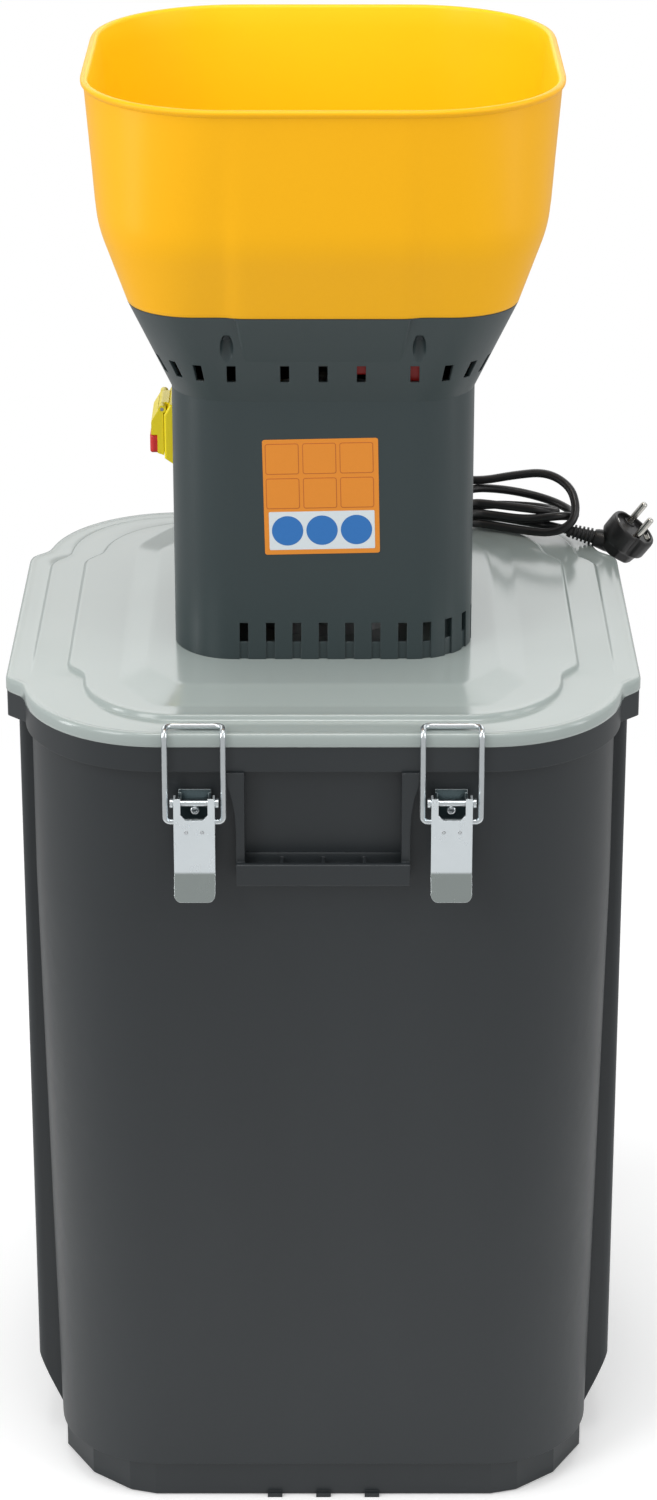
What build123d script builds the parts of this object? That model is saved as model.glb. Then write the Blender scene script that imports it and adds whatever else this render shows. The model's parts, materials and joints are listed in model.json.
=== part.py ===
from build123d import *
import os
from math import cos, pi, radians, sin, tan

# Electric grain mill: a storage bin with a latched lid, a motor tower on the lid and a hopper on the tower.
# Millimetres, +Z up, the front faces -Y, the origin is under the middle of the bin.

os.makedirs("parts", exist_ok=True)

# ---------------------------------------------------------------- driving dimensions
WALL = 3.0

FOOT_HEIGHT = 28.0
FOOT_FLOOR = 4.0
LEDGE_HEIGHT = 32.0
BODY_TAPER_TOP = 440.0
RIM_BOTTOM = 548.0
RIM_TOP = 565.0
BODY_HALF_WIDTH = 188.0
BODY_HALF_DEPTH = 194.0
BODY_CORNER = 82.0
BODY_FOOT_HALF_WIDTH = 181.0
BODY_FOOT_HALF_DEPTH = 186.0
BODY_FOOT_CORNER = 72.0
PANEL_HALF_WIDTH = 197.5
PANEL_HALF_LENGTH = 106.0
PANEL_BOTTOM = 64.0

LID_HALF_WIDTH = 205.0
LID_HALF_DEPTH = 204.0
LID_BODY_HALF_WIDTH = 193.0
LID_CORNER = 90.0
LID_WING_HALF_LENGTH = 112.0
LID_WING_RUN = 14.0
LID_EDGE_TOP = 574.0
LID_FIRST_STEP = 575.5
LID_SECOND_STEP = 577.0
LID_PLATEAU = 581.0
LID_LIP_INSIDE = 571.0
REGISTER_BOTTOM = 553.0

TOWER_HALF = 97.0
TOWER_CORNER = 40.0
FLARE_BOTTOM = 756.0
FLARE_TOP = 819.0
FLARE_HALF = 123.0
FLARE_CORNER = 43.0
VENT_WIDTH = 5.6

HOPPER_KNEE = 867.0
HOPPER_KNEE_HALF = 141.0
HOPPER_KNEE_CORNER = 68.0
HOPPER_RIM = 956.0
HOPPER_RIM_HALF = 149.2
HOPPER_RIM_CORNER = 92.0
HOPPER_LIP = 1.8
HOPPER_FLANGE_BOTTOM = 813.0
FUNNEL_TOP = 819.0
FUNNEL_HALF = 103.0
FUNNEL_CORNER = 30.0
LEDGE_TOP = 827.0
THROAT_Y = 72.0
THROAT_BOTTOM = 760.0
THROAT_HALF_WIDTH = 15.0
THROAT_HALF_DEPTH = 11.0

GATE_BOTTOM = 756.5
GATE_THICKNESS = 3.0
GATE_GAP = 0.5

SHAFT_RADIUS = 7.5
SHAFT_TOP_RADIUS = 5.0
RUNNING_FIT = 0.05
SHIELD_RADIUS = 56.0
THROUGH_BOLT_CIRCLE = 51.0
STATOR_RADIUS = 55.0
STATOR_BORE = 27.0
ARMATURE_RADIUS = 25.3
STACK_BOTTOM = 620.0
STACK_TOP = 680.0
UPPER_SHIELD_BOTTOM = 716.0

CHAMBER_RADIUS = 100.0
SIEVE_RADIUS = 90.0
SIEVE_BOTTOM = 537.0
BLADE_HALF_LENGTH = 82.0

LATCH_X = 80.5
LATCH_PIN_Y = 208.0
LATCH_PIN_Z = 529.0
LATCH_PIN_RADIUS = 2.0
EAR_RADIUS = 3.6
LEVER_TOP = 534.0
LEVER_BEND = 483.0
LEVER_TIP = 466.8
BAIL_PIVOT_Y = 207.0
BAIL_PIVOT_Z = 516.0
BAIL_RADIUS = 1.9
BAIL_HALF_WIDTH = 18.2
BAIL_TOP_Z = 576.4
BAIL_REACH = 11.0
LEVER_HALF_WIDTH = 12.9
SHEET = 1.2

GRIP_HALF_WIDTH = 54.7
GRIP_OPENING = 49.3
GRIP_FRONT = 209.5
GRIP_BOTTOM = 472.0
GRIP_BAR_TOP = 487.0

CORD_RADIUS = 3.0
GLAND_X = 30.0
GLAND_Z = 640.0
GLAND_LENGTH = 34.0


# ---------------------------------------------------------------- helpers
def save(piece, name):
    piece.part.label = name
    export_step(piece.part, f"parts/{name}.step")


def box(x_span, y_span, z_span, mode=Mode.ADD):
    middle = ((x_span[0] + x_span[1]) / 2, (y_span[0] + y_span[1]) / 2, (z_span[0] + z_span[1]) / 2)
    size = (abs(x_span[1] - x_span[0]), abs(y_span[1] - y_span[0]), abs(z_span[1] - z_span[0]))
    with Locations(middle):
        Box(*size, mode=mode)


def disc(radius, low, high, x=0.0, y=0.0, mode=Mode.ADD):
    with Locations((x, y, (low + high) / 2)):
        Cylinder(radius, high - low, mode=mode)


def cross_pin(radius, x_span, y, z, mode=Mode.ADD):
    """A round pin along X."""
    with Locations(((x_span[0] + x_span[1]) / 2, y, z)):
        Cylinder(radius, abs(x_span[1] - x_span[0]), rotation=(0, 90, 0), mode=mode)


def slab(half_x, half_y, corner, low, high, mode=Mode.ADD, taper=0.0):
    with BuildSketch(Plane.XY.offset(low)) as outline:
        RectangleRounded(2 * half_x, 2 * half_y, corner)
    extrude(outline.sketch, amount=high - low, taper=taper, mode=mode)


def frustum(sections, mode=Mode.ADD):
    """Straight-sided shell between rounded rectangles (half_x, half_y, corner, z, middle_y)."""
    faces = []
    for half_x, half_y, corner, z, middle_y in sections:
        with BuildSketch(Plane(origin=(0, middle_y, z))) as outline:
            RectangleRounded(2 * half_x, 2 * half_y, corner)
        faces.append(outline.sketch)
    loft(faces, ruled=True, mode=mode)


def winged_slab(inset, low, high, mode=Mode.ADD):
    """The lid's plan: a rounded rectangle with a straight wing along each side."""
    body = LID_BODY_HALF_WIDTH - inset
    depth = LID_HALF_DEPTH - inset
    wing = LID_HALF_WIDTH - inset
    length = LID_WING_HALF_LENGTH - 0.4 * inset
    root_y = length + LID_WING_RUN
    root_x = body - 3.0
    with BuildSketch(Plane.XY.offset(low)) as outline:
        RectangleRounded(2 * body, 2 * depth, LID_CORNER - inset)
        Polygon(
            (-wing, -length), (-root_x, -root_y), (root_x, -root_y), (wing, -length),
            (wing, length), (root_x, root_y), (-root_x, root_y), (-wing, length),
        )
        wing_tips = outline.vertices().filter_by(lambda v: abs(abs(v.X) - wing) < 0.01)
        fillet(wing_tips, radius=4)
    extrude(outline.sketch, amount=high - low, mode=mode)


# ---------------------------------------------------------------- storage bin
def side_panels(half_width, half_length, low, high, mode=Mode.ADD):
    """Flat panels that stand out along both sides and slope in at their lower end."""
    slope_in = half_width - BODY_FOOT_HALF_WIDTH
    with BuildSketch(Plane.XZ) as profile:
        Polygon(
            (-half_width, high), (-half_width, low), (-half_width + 0.45 * slope_in, low - 19),
            (-half_width + slope_in, low - 40), (half_width - slope_in, low - 40),
            (half_width - 0.45 * slope_in, low - 19), (half_width, low), (half_width, high),
        )
    extrude(profile.sketch, amount=half_length, both=True, mode=mode)


def foot_band(inset, low, high, mode=Mode.ADD):
    corner = [(178, 122), (158, 156), (132, 176), (114, 181)]
    signs = [(1, 1, False), (-1, 1, True), (-1, -1, False), (1, -1, True)]
    points = []
    for sign_x, sign_y, backwards in signs:
        leg = [(sign_x * (x - inset), sign_y * (y - inset)) for x, y in corner]
        points += leg[::-1] if backwards else leg
    with BuildSketch(Plane.XY.offset(low)) as outline:
        Polygon(points)
    extrude(outline.sketch, amount=high - low, mode=mode)


LATCH_SCREW_Z = 518.8
LATCH_SCREW_RADIUS = 1.9

with BuildPart() as bin_tub:
    side_panels(PANEL_HALF_WIDTH, PANEL_HALF_LENGTH, PANEL_BOTTOM, RIM_BOTTOM)
    fillet(bin_tub.edges().filter_by(Axis.Z).filter_by(lambda e: abs(e.center().X) > 190), radius=5)
    frustum([
        (BODY_FOOT_HALF_WIDTH, BODY_FOOT_HALF_DEPTH, BODY_FOOT_CORNER, FOOT_HEIGHT, 0),
        (BODY_HALF_WIDTH, BODY_HALF_DEPTH, BODY_CORNER, BODY_TAPER_TOP, 0),
        (BODY_HALF_WIDTH, BODY_HALF_DEPTH, BODY_CORNER, RIM_BOTTOM, 0),
    ])
    foot_band(0, 0, FOOT_HEIGHT)
    chamfer(bin_tub.faces().sort_by(Axis.Z)[0].edges(), length=1.5)
    winged_slab(1, RIM_BOTTOM, RIM_TOP)
    frustum([
        (BODY_FOOT_HALF_WIDTH - WALL, BODY_FOOT_HALF_DEPTH - WALL, BODY_FOOT_CORNER - WALL, LEDGE_HEIGHT, 0),
        (BODY_HALF_WIDTH - WALL, BODY_HALF_DEPTH - WALL, BODY_CORNER - WALL, BODY_TAPER_TOP, 0),
        (BODY_HALF_WIDTH - WALL, BODY_HALF_DEPTH - WALL, BODY_CORNER - WALL, RIM_TOP, 0),
    ], mode=Mode.SUBTRACT)
    side_panels(PANEL_HALF_WIDTH - WALL, PANEL_HALF_LENGTH - WALL, PANEL_BOTTOM + 6, RIM_TOP, Mode.SUBTRACT)
    foot_band(WALL, FOOT_FLOOR, LEDGE_HEIGHT, Mode.SUBTRACT)
    for x in (-33, 0, 33):
        box((x - 5, x + 5), (-184, -178), (0, 3))
    for x in (-LATCH_X, LATCH_X):
        for side in (-1, 1):
            with Locations((x, side * (BODY_HALF_DEPTH - WALL / 2), LATCH_SCREW_Z)):
                Cylinder(LATCH_SCREW_RADIUS, 2 * WALL, rotation=(90, 0, 0), mode=Mode.SUBTRACT)
save(bin_tub, "bin_tub")


def grip_bracket(side):
    """Moulded grip under the rim: two cheeks, a bottom bar and three webs behind the bar."""
    wall = side * BODY_HALF_DEPTH
    front = side * GRIP_FRONT
    with BuildPart() as grip:
        for hand in (-1, 1):
            cheek_outline = [
                (GRIP_OPENING, RIM_BOTTOM), (60.5, RIM_BOTTOM), (60.5, 541), (57.5, 531),
                (55.5, 521), (GRIP_HALF_WIDTH, 508), (GRIP_HALF_WIDTH, GRIP_BOTTOM), (GRIP_OPENING, GRIP_BOTTOM),
            ]
            with BuildSketch(Plane.XZ.offset(-wall)) as cheek:
                Polygon([(hand * x, z) for x, z in cheek_outline])
            extrude(cheek.sketch, amount=-side * 11)
        box((-GRIP_HALF_WIDTH, GRIP_HALF_WIDTH), (front - side * 3.5, front), (GRIP_BOTTOM, GRIP_BAR_TOP))
        for hand in (-1, 1):
            box((hand * GRIP_OPENING, hand * GRIP_HALF_WIDTH), (wall, front), (GRIP_BOTTOM, GRIP_BAR_TOP))
        fillet(grip.edges().filter_by(Axis.X).group_by(SortBy.LENGTH)[-1].filter_by(
            lambda e: abs(e.center().Y - front) < 0.01), radius=1.2)
        for x in (-26, 0, 26):
            box((x - 1, x + 1), (wall, front - side * 3), (GRIP_BOTTOM, GRIP_BAR_TOP - 7))
    return grip


front_handle = grip_bracket(-1)
save(front_handle, "front_handle")
rear_handle = grip_bracket(1)
save(rear_handle, "rear_handle")

# ---------------------------------------------------------------- lid
MOUNT_BOLT_OFFSET = 34.0
HOUSING_SCREW_OFFSET = 79.0
SEAL_BORE = 17.0
STUD_CIRCLE = 95.0


def chute_hole(low, high):
    with BuildSketch(Plane(origin=(0, THROAT_Y, low))) as outline:
        RectangleRounded(34.4, 26.4, 3.2)
    extrude(outline.sketch, amount=high - low, mode=Mode.SUBTRACT)


def corner_holes(offset, radius, low, high, mode=Mode.SUBTRACT):
    for x in (-offset, offset):
        for y in (-offset, offset):
            disc(radius, low, high, x, y, mode)


with BuildPart() as lid:
    winged_slab(0, RIM_TOP, LID_EDGE_TOP)
    fillet(lid.faces().sort_by(Axis.Z)[-1].edges(), radius=2.5)
    # first step: along the sides and the back, fading out towards the front
    with BuildSketch(Plane.XY.offset(LID_EDGE_TOP)) as first_step:
        with Locations((0, 40)):
            RectangleRounded(2 * 176, 2 * 150, 74)
        Polygon((-188.5, -113), (188.5, -113), (188.5, 96), (170, 119), (-170, 119), (-188.5, 96))
        fillet(first_step.vertices().filter_by(lambda v: 90 < v.Y < 113 and abs(v.X) > 172), radius=9)
    extrude(first_step.sketch, amount=LID_FIRST_STEP - LID_EDGE_TOP, taper=40)
    with BuildSketch(Plane.YZ) as fade:
        Polygon((-115, LID_EDGE_TOP), (-40, LID_FIRST_STEP), (-40, 580), (-115, 580))
    extrude(fade.sketch, amount=200, both=True, mode=Mode.SUBTRACT)
    # second step: a closed outline with its own small wings
    with BuildSketch(Plane.XY.offset(LID_EDGE_TOP)) as second_step:
        with Locations((0, -7)):
            RectangleRounded(2 * 153, 2 * 180, 62)
        Polygon(
            (-165, -97), (-147, -120), (147, -120), (165, -97),
            (165, 97), (147, 120), (-147, 120), (-165, 97),
        )
        fillet(second_step.vertices().filter_by(lambda v: abs(v.Y) < 119 and abs(v.X) > 151), radius=8)
    extrude(second_step.sketch, amount=LID_SECOND_STEP - LID_EDGE_TOP, taper=38)
    # plateau under the tower: a low octagonal pyramid
    with BuildSketch(Plane.XY.offset(LID_SECOND_STEP)) as plateau_foot:
        Polygon(
            (-128, -122), (-104, -163), (104, -163), (128, -122),
            (128, 122), (104, 163), (-104, 163), (-128, 122),
        )
    with BuildSketch(Plane.XY.offset(LID_PLATEAU)) as plateau_top:
        Polygon(
            (-115, -110), (-93, -140), (93, -140), (115, -110),
            (115, 110), (93, 140), (-93, 140), (-115, 110),
        )
    loft([plateau_foot.sketch, plateau_top.sketch], ruled=True)
    # hollow underside
    winged_slab(WALL, RIM_TOP, LID_LIP_INSIDE, Mode.SUBTRACT)
    slab(148, 168, 58, LID_LIP_INSIDE, LID_SECOND_STEP - WALL, Mode.SUBTRACT)
    slab(112, 136, 30, LID_SECOND_STEP - WALL, LID_PLATEAU - WALL, Mode.SUBTRACT)
    # register ring that drops inside the tub
    ring_half_width = BODY_HALF_WIDTH - WALL - 0.5
    ring_half_depth = BODY_HALF_DEPTH - WALL - 0.5
    ring_corner = BODY_CORNER - WALL - 0.5
    slab(ring_half_width, ring_half_depth, ring_corner, REGISTER_BOTTOM, LID_LIP_INSIDE)
    slab(ring_half_width - 2.5, ring_half_depth - 2.5, ring_corner - 2.5, REGISTER_BOTTOM, LID_LIP_INSIDE,
         Mode.SUBTRACT)
    disc(SEAL_BORE, LID_LIP_INSIDE, LID_PLATEAU, mode=Mode.SUBTRACT)
    chute_hole(LID_LIP_INSIDE, LID_PLATEAU)
    corner_holes(MOUNT_BOLT_OFFSET, 2.5, LID_LIP_INSIDE, LID_PLATEAU)
    corner_holes(HOUSING_SCREW_OFFSET, 2.0, LID_LIP_INSIDE, LID_PLATEAU)
save(lid, "lid")

with BuildPart() as lid_seal:
    winged_slab(4, RIM_TOP, LID_LIP_INSIDE)
    winged_slab(8, RIM_TOP, LID_LIP_INSIDE, Mode.SUBTRACT)
save(lid_seal, "lid_seal")

# ---------------------------------------------------------------- motor housing
HOPPER_SCREW_X = 60.0
HOPPER_SCREW_Y = 113.5
BORE_TOP = 806.0


def hopper_screw_places():
    return [(x, y) for x in (-HOPPER_SCREW_X, HOPPER_SCREW_X) for y in (-HOPPER_SCREW_Y, HOPPER_SCREW_Y)]


def flare_half(z):
    """Half width of the flared part at a height."""
    return TOWER_HALF + (FLARE_HALF - TOWER_HALF) * (z - FLARE_BOTTOM) / (FLARE_TOP - FLARE_BOTTOM)


def vent(angle, x, reach, z_span, depth):
    """A slot through the wall that faces `angle` degrees, at x along it, centred on the wall's outer face."""
    face = Plane(origin=(0, 0, (z_span[0] + z_span[1]) / 2), x_dir=(cos(radians(angle)), sin(radians(angle)), 0))
    with Locations(face.location * Location((x, -reach, 0))):
        Box(VENT_WIDTH, depth, z_span[1] - z_span[0], mode=Mode.SUBTRACT)


def corner_vent(quadrant, turn, half, corner, z_span, depth):
    """The same slot on the rounded corner after the wall that faces `quadrant`, turned by `turn` degrees."""
    angle = radians(quadrant + turn)
    flat = half - corner
    base = radians(quadrant)
    centre = (flat * cos(base) + flat * sin(base), flat * sin(base) - flat * cos(base))
    place = (centre[0] + corner * sin(angle), centre[1] - corner * cos(angle), (z_span[0] + z_span[1]) / 2)
    with Locations(Location(place, (0, 0, quadrant + turn))):
        Box(VENT_WIDTH, depth, z_span[1] - z_span[0], mode=Mode.SUBTRACT)


with BuildPart() as housing_cavity:
    slab(TOWER_HALF - WALL, TOWER_HALF - WALL, TOWER_CORNER - WALL, LID_PLATEAU, FLARE_BOTTOM)
    frustum([
        (TOWER_HALF - WALL, TOWER_HALF - WALL, TOWER_CORNER - WALL, FLARE_BOTTOM, 0),
        (FLARE_HALF - WALL, FLARE_HALF - WALL, FLARE_CORNER - WALL, FLARE_TOP, 0),
    ])
    for x, y in hopper_screw_places():
        disc(8, 784, HOPPER_FLANGE_BOTTOM, x, y, Mode.SUBTRACT)
    corner_holes(HOUSING_SCREW_OFFSET, 6, LID_PLATEAU, LID_PLATEAU + 30)

FLARE_VENT = (771.0, 783.0)
BASE_VENT = (592.7, 606.2)
BASE_PITCH = 17.05

with BuildPart() as motor_housing:
    slab(TOWER_HALF, TOWER_HALF, TOWER_CORNER, LID_PLATEAU, FLARE_BOTTOM)
    frustum([
        (TOWER_HALF, TOWER_HALF, TOWER_CORNER, FLARE_BOTTOM, 0),
        (FLARE_HALF, FLARE_HALF, FLARE_CORNER, FLARE_TOP, 0),
    ])
    # the panels of the hopper run out on the flare
    panel_foot = 784.0
    frustum([
        (50, flare_half(panel_foot) - 0.2, 3, panel_foot, 0),
        (55, FLARE_HALF + 3, 3, FLARE_TOP, 0),
    ])
    frustum([
        (flare_half(panel_foot) - 0.2, 50, 3, panel_foot, 0),
        (FLARE_HALF + 3, 55, 3, FLARE_TOP, 0),
    ])
    add(housing_cavity.part, mode=Mode.SUBTRACT)
    for x, y in hopper_screw_places():
        disc(4.2, 782, BORE_TOP, x, y, Mode.SUBTRACT)
        disc(2.0, BORE_TOP, HOPPER_FLANGE_BOTTOM, x, y, Mode.SUBTRACT)
    corner_holes(HOUSING_SCREW_OFFSET, 2.0, LID_PLATEAU, LID_PLATEAU + 22)
    vent_reach = flare_half(sum(FLARE_VENT) / 2)
    for quadrant in (0, 90, 180, 270):
        for x in (-57.5, -24, 0, 24, 57.5):
            vent(quadrant, x, vent_reach, FLARE_VENT, 16)
        for turn in (19, 43, 66) if quadrant % 180 == 0 else (24, 47, 71):
            corner_vent(quadrant, turn, vent_reach, 41, FLARE_VENT, 16)
    for quadrant in (0, 90, 180):
        for step in range(-3, 4):
            vent(quadrant, step * BASE_PITCH, TOWER_HALF, BASE_VENT, 10)
            vent(quadrant, step * BASE_PITCH, TOWER_HALF, (LID_PLATEAU, BASE_VENT[0]), 2.4)
    for turn in (14.5, 37, 59.5, 82):
        corner_vent(0, turn, TOWER_HALF, TOWER_CORNER, BASE_VENT, 10)
        corner_vent(0, turn, TOWER_HALF, TOWER_CORNER, (LID_PLATEAU, BASE_VENT[0]), 2.4)
    box((-19.5, 19.5), (88, 104), (754, 762), Mode.SUBTRACT)
    with Locations((GLAND_X, TOWER_HALF, GLAND_Z)):
        Cylinder(5, 3 * WALL, rotation=(90, 0, 0), mode=Mode.SUBTRACT)
save(motor_housing, "motor_housing")

with BuildPart() as housing_screws:
    corner_holes(HOUSING_SCREW_OFFSET, 2.0, LID_PLATEAU - WALL, LID_PLATEAU + 20, Mode.ADD)
    corner_holes(HOUSING_SCREW_OFFSET, 4.0, LID_PLATEAU - WALL - 3, LID_PLATEAU - WALL, Mode.ADD)
save(housing_screws, "housing_screws")

# ---------------------------------------------------------------- hopper
with BuildPart() as hopper:
    frustum([
        (FLARE_HALF, FLARE_HALF, FLARE_CORNER, FLARE_TOP, 0),
        (HOPPER_KNEE_HALF, HOPPER_KNEE_HALF, HOPPER_KNEE_CORNER, HOPPER_KNEE, 0),
        (HOPPER_RIM_HALF, HOPPER_RIM_HALF, HOPPER_RIM_CORNER, HOPPER_RIM, 0),
    ])
    for turned in (False, True):
        sections = [
            (55, FLARE_HALF + 3, 3, FLARE_TOP, 0),
            (59, HOPPER_KNEE_HALF + 2.4, 3, HOPPER_KNEE, 0),
            (62, HOPPER_RIM_HALF + 0.4, 3, HOPPER_RIM, 0),
        ]
        if turned:
            sections = [(deep, wide, corner, z, 0) for wide, deep, corner, z, middle in sections]
        frustum(sections)
    lip_half = HOPPER_RIM_HALF + HOPPER_LIP
    slab(lip_half, lip_half, HOPPER_RIM_CORNER + HOPPER_LIP, HOPPER_RIM - 4, HOPPER_RIM)
    fillet(hopper.faces().sort_by(Axis.Z)[-1].edges(), radius=1.6)
    flange_low = flare_half(HOPPER_FLANGE_BOTTOM) - WALL - 0.4
    flange_high = FLARE_HALF - WALL - 0.4
    frustum([
        (flange_low, flange_low, FLARE_CORNER - WALL, HOPPER_FLANGE_BOTTOM, 0),
        (flange_high, flange_high, FLARE_CORNER - WALL, FLARE_TOP, 0),
    ])
    frustum([
        (FUNNEL_HALF, FUNNEL_HALF, FUNNEL_CORNER, HOPPER_FLANGE_BOTTOM, 0),
        (THROAT_HALF_WIDTH + WALL, THROAT_HALF_DEPTH + WALL, 4, THROAT_BOTTOM, THROAT_Y),
    ])
    frustum([
        (FUNNEL_HALF, FUNNEL_HALF, FUNNEL_CORNER, FUNNEL_TOP, 0),
        (FLARE_HALF + 0.4, FLARE_HALF + 0.4, FLARE_CORNER + 1, LEDGE_TOP, 0),
        (HOPPER_KNEE_HALF - WALL, HOPPER_KNEE_HALF - WALL, HOPPER_KNEE_CORNER - WALL, HOPPER_KNEE, 0),
        (HOPPER_RIM_HALF - WALL, HOPPER_RIM_HALF - WALL, HOPPER_RIM_CORNER - WALL, HOPPER_RIM, 0),
    ], mode=Mode.SUBTRACT)
    frustum([
        (FUNNEL_HALF, FUNNEL_HALF, FUNNEL_CORNER, FUNNEL_TOP, 0),
        (THROAT_HALF_WIDTH, THROAT_HALF_DEPTH, 2.5, THROAT_BOTTOM, THROAT_Y),
    ], mode=Mode.SUBTRACT)
    for x, y in hopper_screw_places():
        disc(1.9, HOPPER_FLANGE_BOTTOM, 818, x, y, Mode.SUBTRACT)
save(hopper, "hopper")

with BuildPart() as hopper_screws:
    for x, y in hopper_screw_places():
        disc(1.9, 803, 818, x, y)
        disc(3.6, 803, BORE_TOP, x, y)
save(hopper_screws, "hopper_screws")

# ---------------------------------------------------------------- feed path
with BuildPart() as feed_chute:
    with BuildSketch(Plane(origin=(0, THROAT_Y, LID_PLATEAU - 6))) as chute_outline:
        RectangleRounded(34, 26, 3)
        RectangleRounded(30, 22, 2, mode=Mode.SUBTRACT)
    extrude(chute_outline.sketch, amount=GATE_BOTTOM - GATE_GAP - LID_PLATEAU + 6)
    with BuildSketch(Plane(origin=(0, THROAT_Y, GATE_BOTTOM - GATE_GAP - 3))) as chute_flange:
        RectangleRounded(42, 32, 4)
        RectangleRounded(30, 22, 2, mode=Mode.SUBTRACT)
    extrude(chute_flange.sketch, amount=3)
save(feed_chute, "feed_chute")

with BuildPart() as feed_gate:
    box((-18, 18), (THROAT_Y - THROAT_HALF_DEPTH - 4, 112), (GATE_BOTTOM, GATE_BOTTOM + GATE_THICKNESS))
    fillet(feed_gate.edges().filter_by(Axis.Z), radius=2)
save(feed_gate, "feed_gate")

with BuildPart() as gate_knob:
    box((-14, 14), (108, 119), (750, 766))
    fillet(gate_knob.edges().filter_by(Axis.X), radius=3)
    fillet(gate_knob.faces().sort_by(Axis.Y)[-1].edges(), radius=1.2)
    box((-18, 18), (107, 112), (GATE_BOTTOM, GATE_BOTTOM + GATE_THICKNESS), Mode.SUBTRACT)
save(gate_knob, "gate_knob")

with BuildPart() as lead_connector:
    box((48, 66), (-98, -88), (768, 787))
    box((16, 50), (-98, -88), (774, 787))
    fillet(lead_connector.edges().filter_by(Axis.X), radius=1.5)
    # a tab hangs it from the flange of the hopper
    box((36, 44), (-105, -96), (784.6, 786))
    box((36, 44), (-105, -103), (784.6, HOPPER_FLANGE_BOTTOM))
save(lead_connector, "lead_connector")

# ---------------------------------------------------------------- motor, fixed pieces
with BuildPart() as lower_end_shield:
    disc(SHIELD_RADIUS, LID_PLATEAU, LID_PLATEAU + 8)
    disc(22, LID_PLATEAU + 8, LID_PLATEAU + 13)
    disc(17.5, LID_PLATEAU, LID_PLATEAU + 13, mode=Mode.SUBTRACT)
    corner_holes(MOUNT_BOLT_OFFSET, 2.5, LID_PLATEAU, LID_PLATEAU + 8)
    with PolarLocations(THROUGH_BOLT_CIRCLE, 4):
        Cylinder(2, 2 * (LID_PLATEAU + 20), mode=Mode.SUBTRACT)
    with PolarLocations(35, 4):
        with Locations((0, 0, LID_PLATEAU + 4)):
            Cylinder(8, 8, mode=Mode.SUBTRACT)
save(lower_end_shield, "lower_end_shield")

with BuildPart() as lower_bearing:
    disc(17.5, LID_PLATEAU, LID_PLATEAU + 11)
    disc(SHAFT_RADIUS + RUNNING_FIT, LID_PLATEAU, LID_PLATEAU + 11, mode=Mode.SUBTRACT)
save(lower_bearing, "lower_bearing")

with BuildPart() as stator_core:
    disc(STATOR_RADIUS, STACK_BOTTOM, STACK_TOP)
    disc(STATOR_BORE, STACK_BOTTOM, STACK_TOP, mode=Mode.SUBTRACT)
    with PolarLocations(THROUGH_BOLT_CIRCLE, 4):
        Cylinder(2, 2 * (STACK_TOP + 10), mode=Mode.SUBTRACT)
save(stator_core, "stator_core")

with BuildPart() as field_windings:
    for low in (STACK_BOTTOM - 11, STACK_TOP):
        disc(44, low, low + 11)
        disc(30, low, low + 11, mode=Mode.SUBTRACT)
save(field_windings, "field_windings")

UPPER_SHIELD_TOP = UPPER_SHIELD_BOTTOM + 8

with BuildPart() as upper_end_shield:
    disc(SHIELD_RADIUS, UPPER_SHIELD_BOTTOM, UPPER_SHIELD_TOP)
    disc(13, UPPER_SHIELD_BOTTOM, UPPER_SHIELD_TOP, mode=Mode.SUBTRACT)
    with PolarLocations(THROUGH_BOLT_CIRCLE, 4):
        Cylinder(2, 2 * (UPPER_SHIELD_TOP + 10), mode=Mode.SUBTRACT)
    with PolarLocations(32, 4, start_angle=45):
        with Locations((0, 0, (UPPER_SHIELD_BOTTOM + UPPER_SHIELD_TOP) / 2)):
            Cylinder(9, 8, mode=Mode.SUBTRACT)
save(upper_end_shield, "upper_end_shield")

with BuildPart() as upper_bearing:
    disc(13, UPPER_SHIELD_BOTTOM, UPPER_SHIELD_TOP)
    disc(SHAFT_TOP_RADIUS + RUNNING_FIT, UPPER_SHIELD_BOTTOM, UPPER_SHIELD_TOP, mode=Mode.SUBTRACT)
save(upper_bearing, "upper_bearing")

with BuildPart() as motor_bolts:
    with PolarLocations(THROUGH_BOLT_CIRCLE, 4):
        with Locations((0, 0, (LID_PLATEAU + UPPER_SHIELD_TOP) / 2)):
            Cylinder(2, UPPER_SHIELD_TOP - LID_PLATEAU)
        with Locations((0, 0, UPPER_SHIELD_TOP + 1.5)):
            Cylinder(3.8, 3)
    corner_holes(MOUNT_BOLT_OFFSET, 2.5, 569, LID_PLATEAU + 8, Mode.ADD)
    corner_holes(MOUNT_BOLT_OFFSET, 4.5, LID_PLATEAU + 8, LID_PLATEAU + 12, Mode.ADD)
    corner_holes(MOUNT_BOLT_OFFSET, 4.5, 570, 575, Mode.ADD)
save(motor_bolts, "motor_bolts")

BRUSH_Z = (697.0, 707.0)

with BuildPart() as carbon_brushes:
    for hand in (-1, 1):
        box((hand * 16.3, hand * 36), (-3, 3), BRUSH_Z)
save(carbon_brushes, "carbon_brushes")

with BuildPart() as brush_holders:
    for hand in (-1, 1):
        box((hand * 20, hand * 42), (-5, 5), (BRUSH_Z[0] - 2, BRUSH_Z[1] + 2))
        box((hand * 34, hand * 42), (-5, 5), (BRUSH_Z[1] + 2, UPPER_SHIELD_BOTTOM))
        box((hand * 20, hand * 36), (-3, 3), BRUSH_Z, Mode.SUBTRACT)
save(brush_holders, "brush_holders")

# ---------------------------------------------------------------- rotor
with BuildPart() as motor_shaft:
    disc(6, 541, 557)
    disc(SHAFT_RADIUS, 557, UPPER_SHIELD_BOTTOM - 1)
    disc(SHAFT_TOP_RADIUS, UPPER_SHIELD_BOTTOM - 1, UPPER_SHIELD_TOP + 4)
save(motor_shaft, "motor_shaft")

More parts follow.
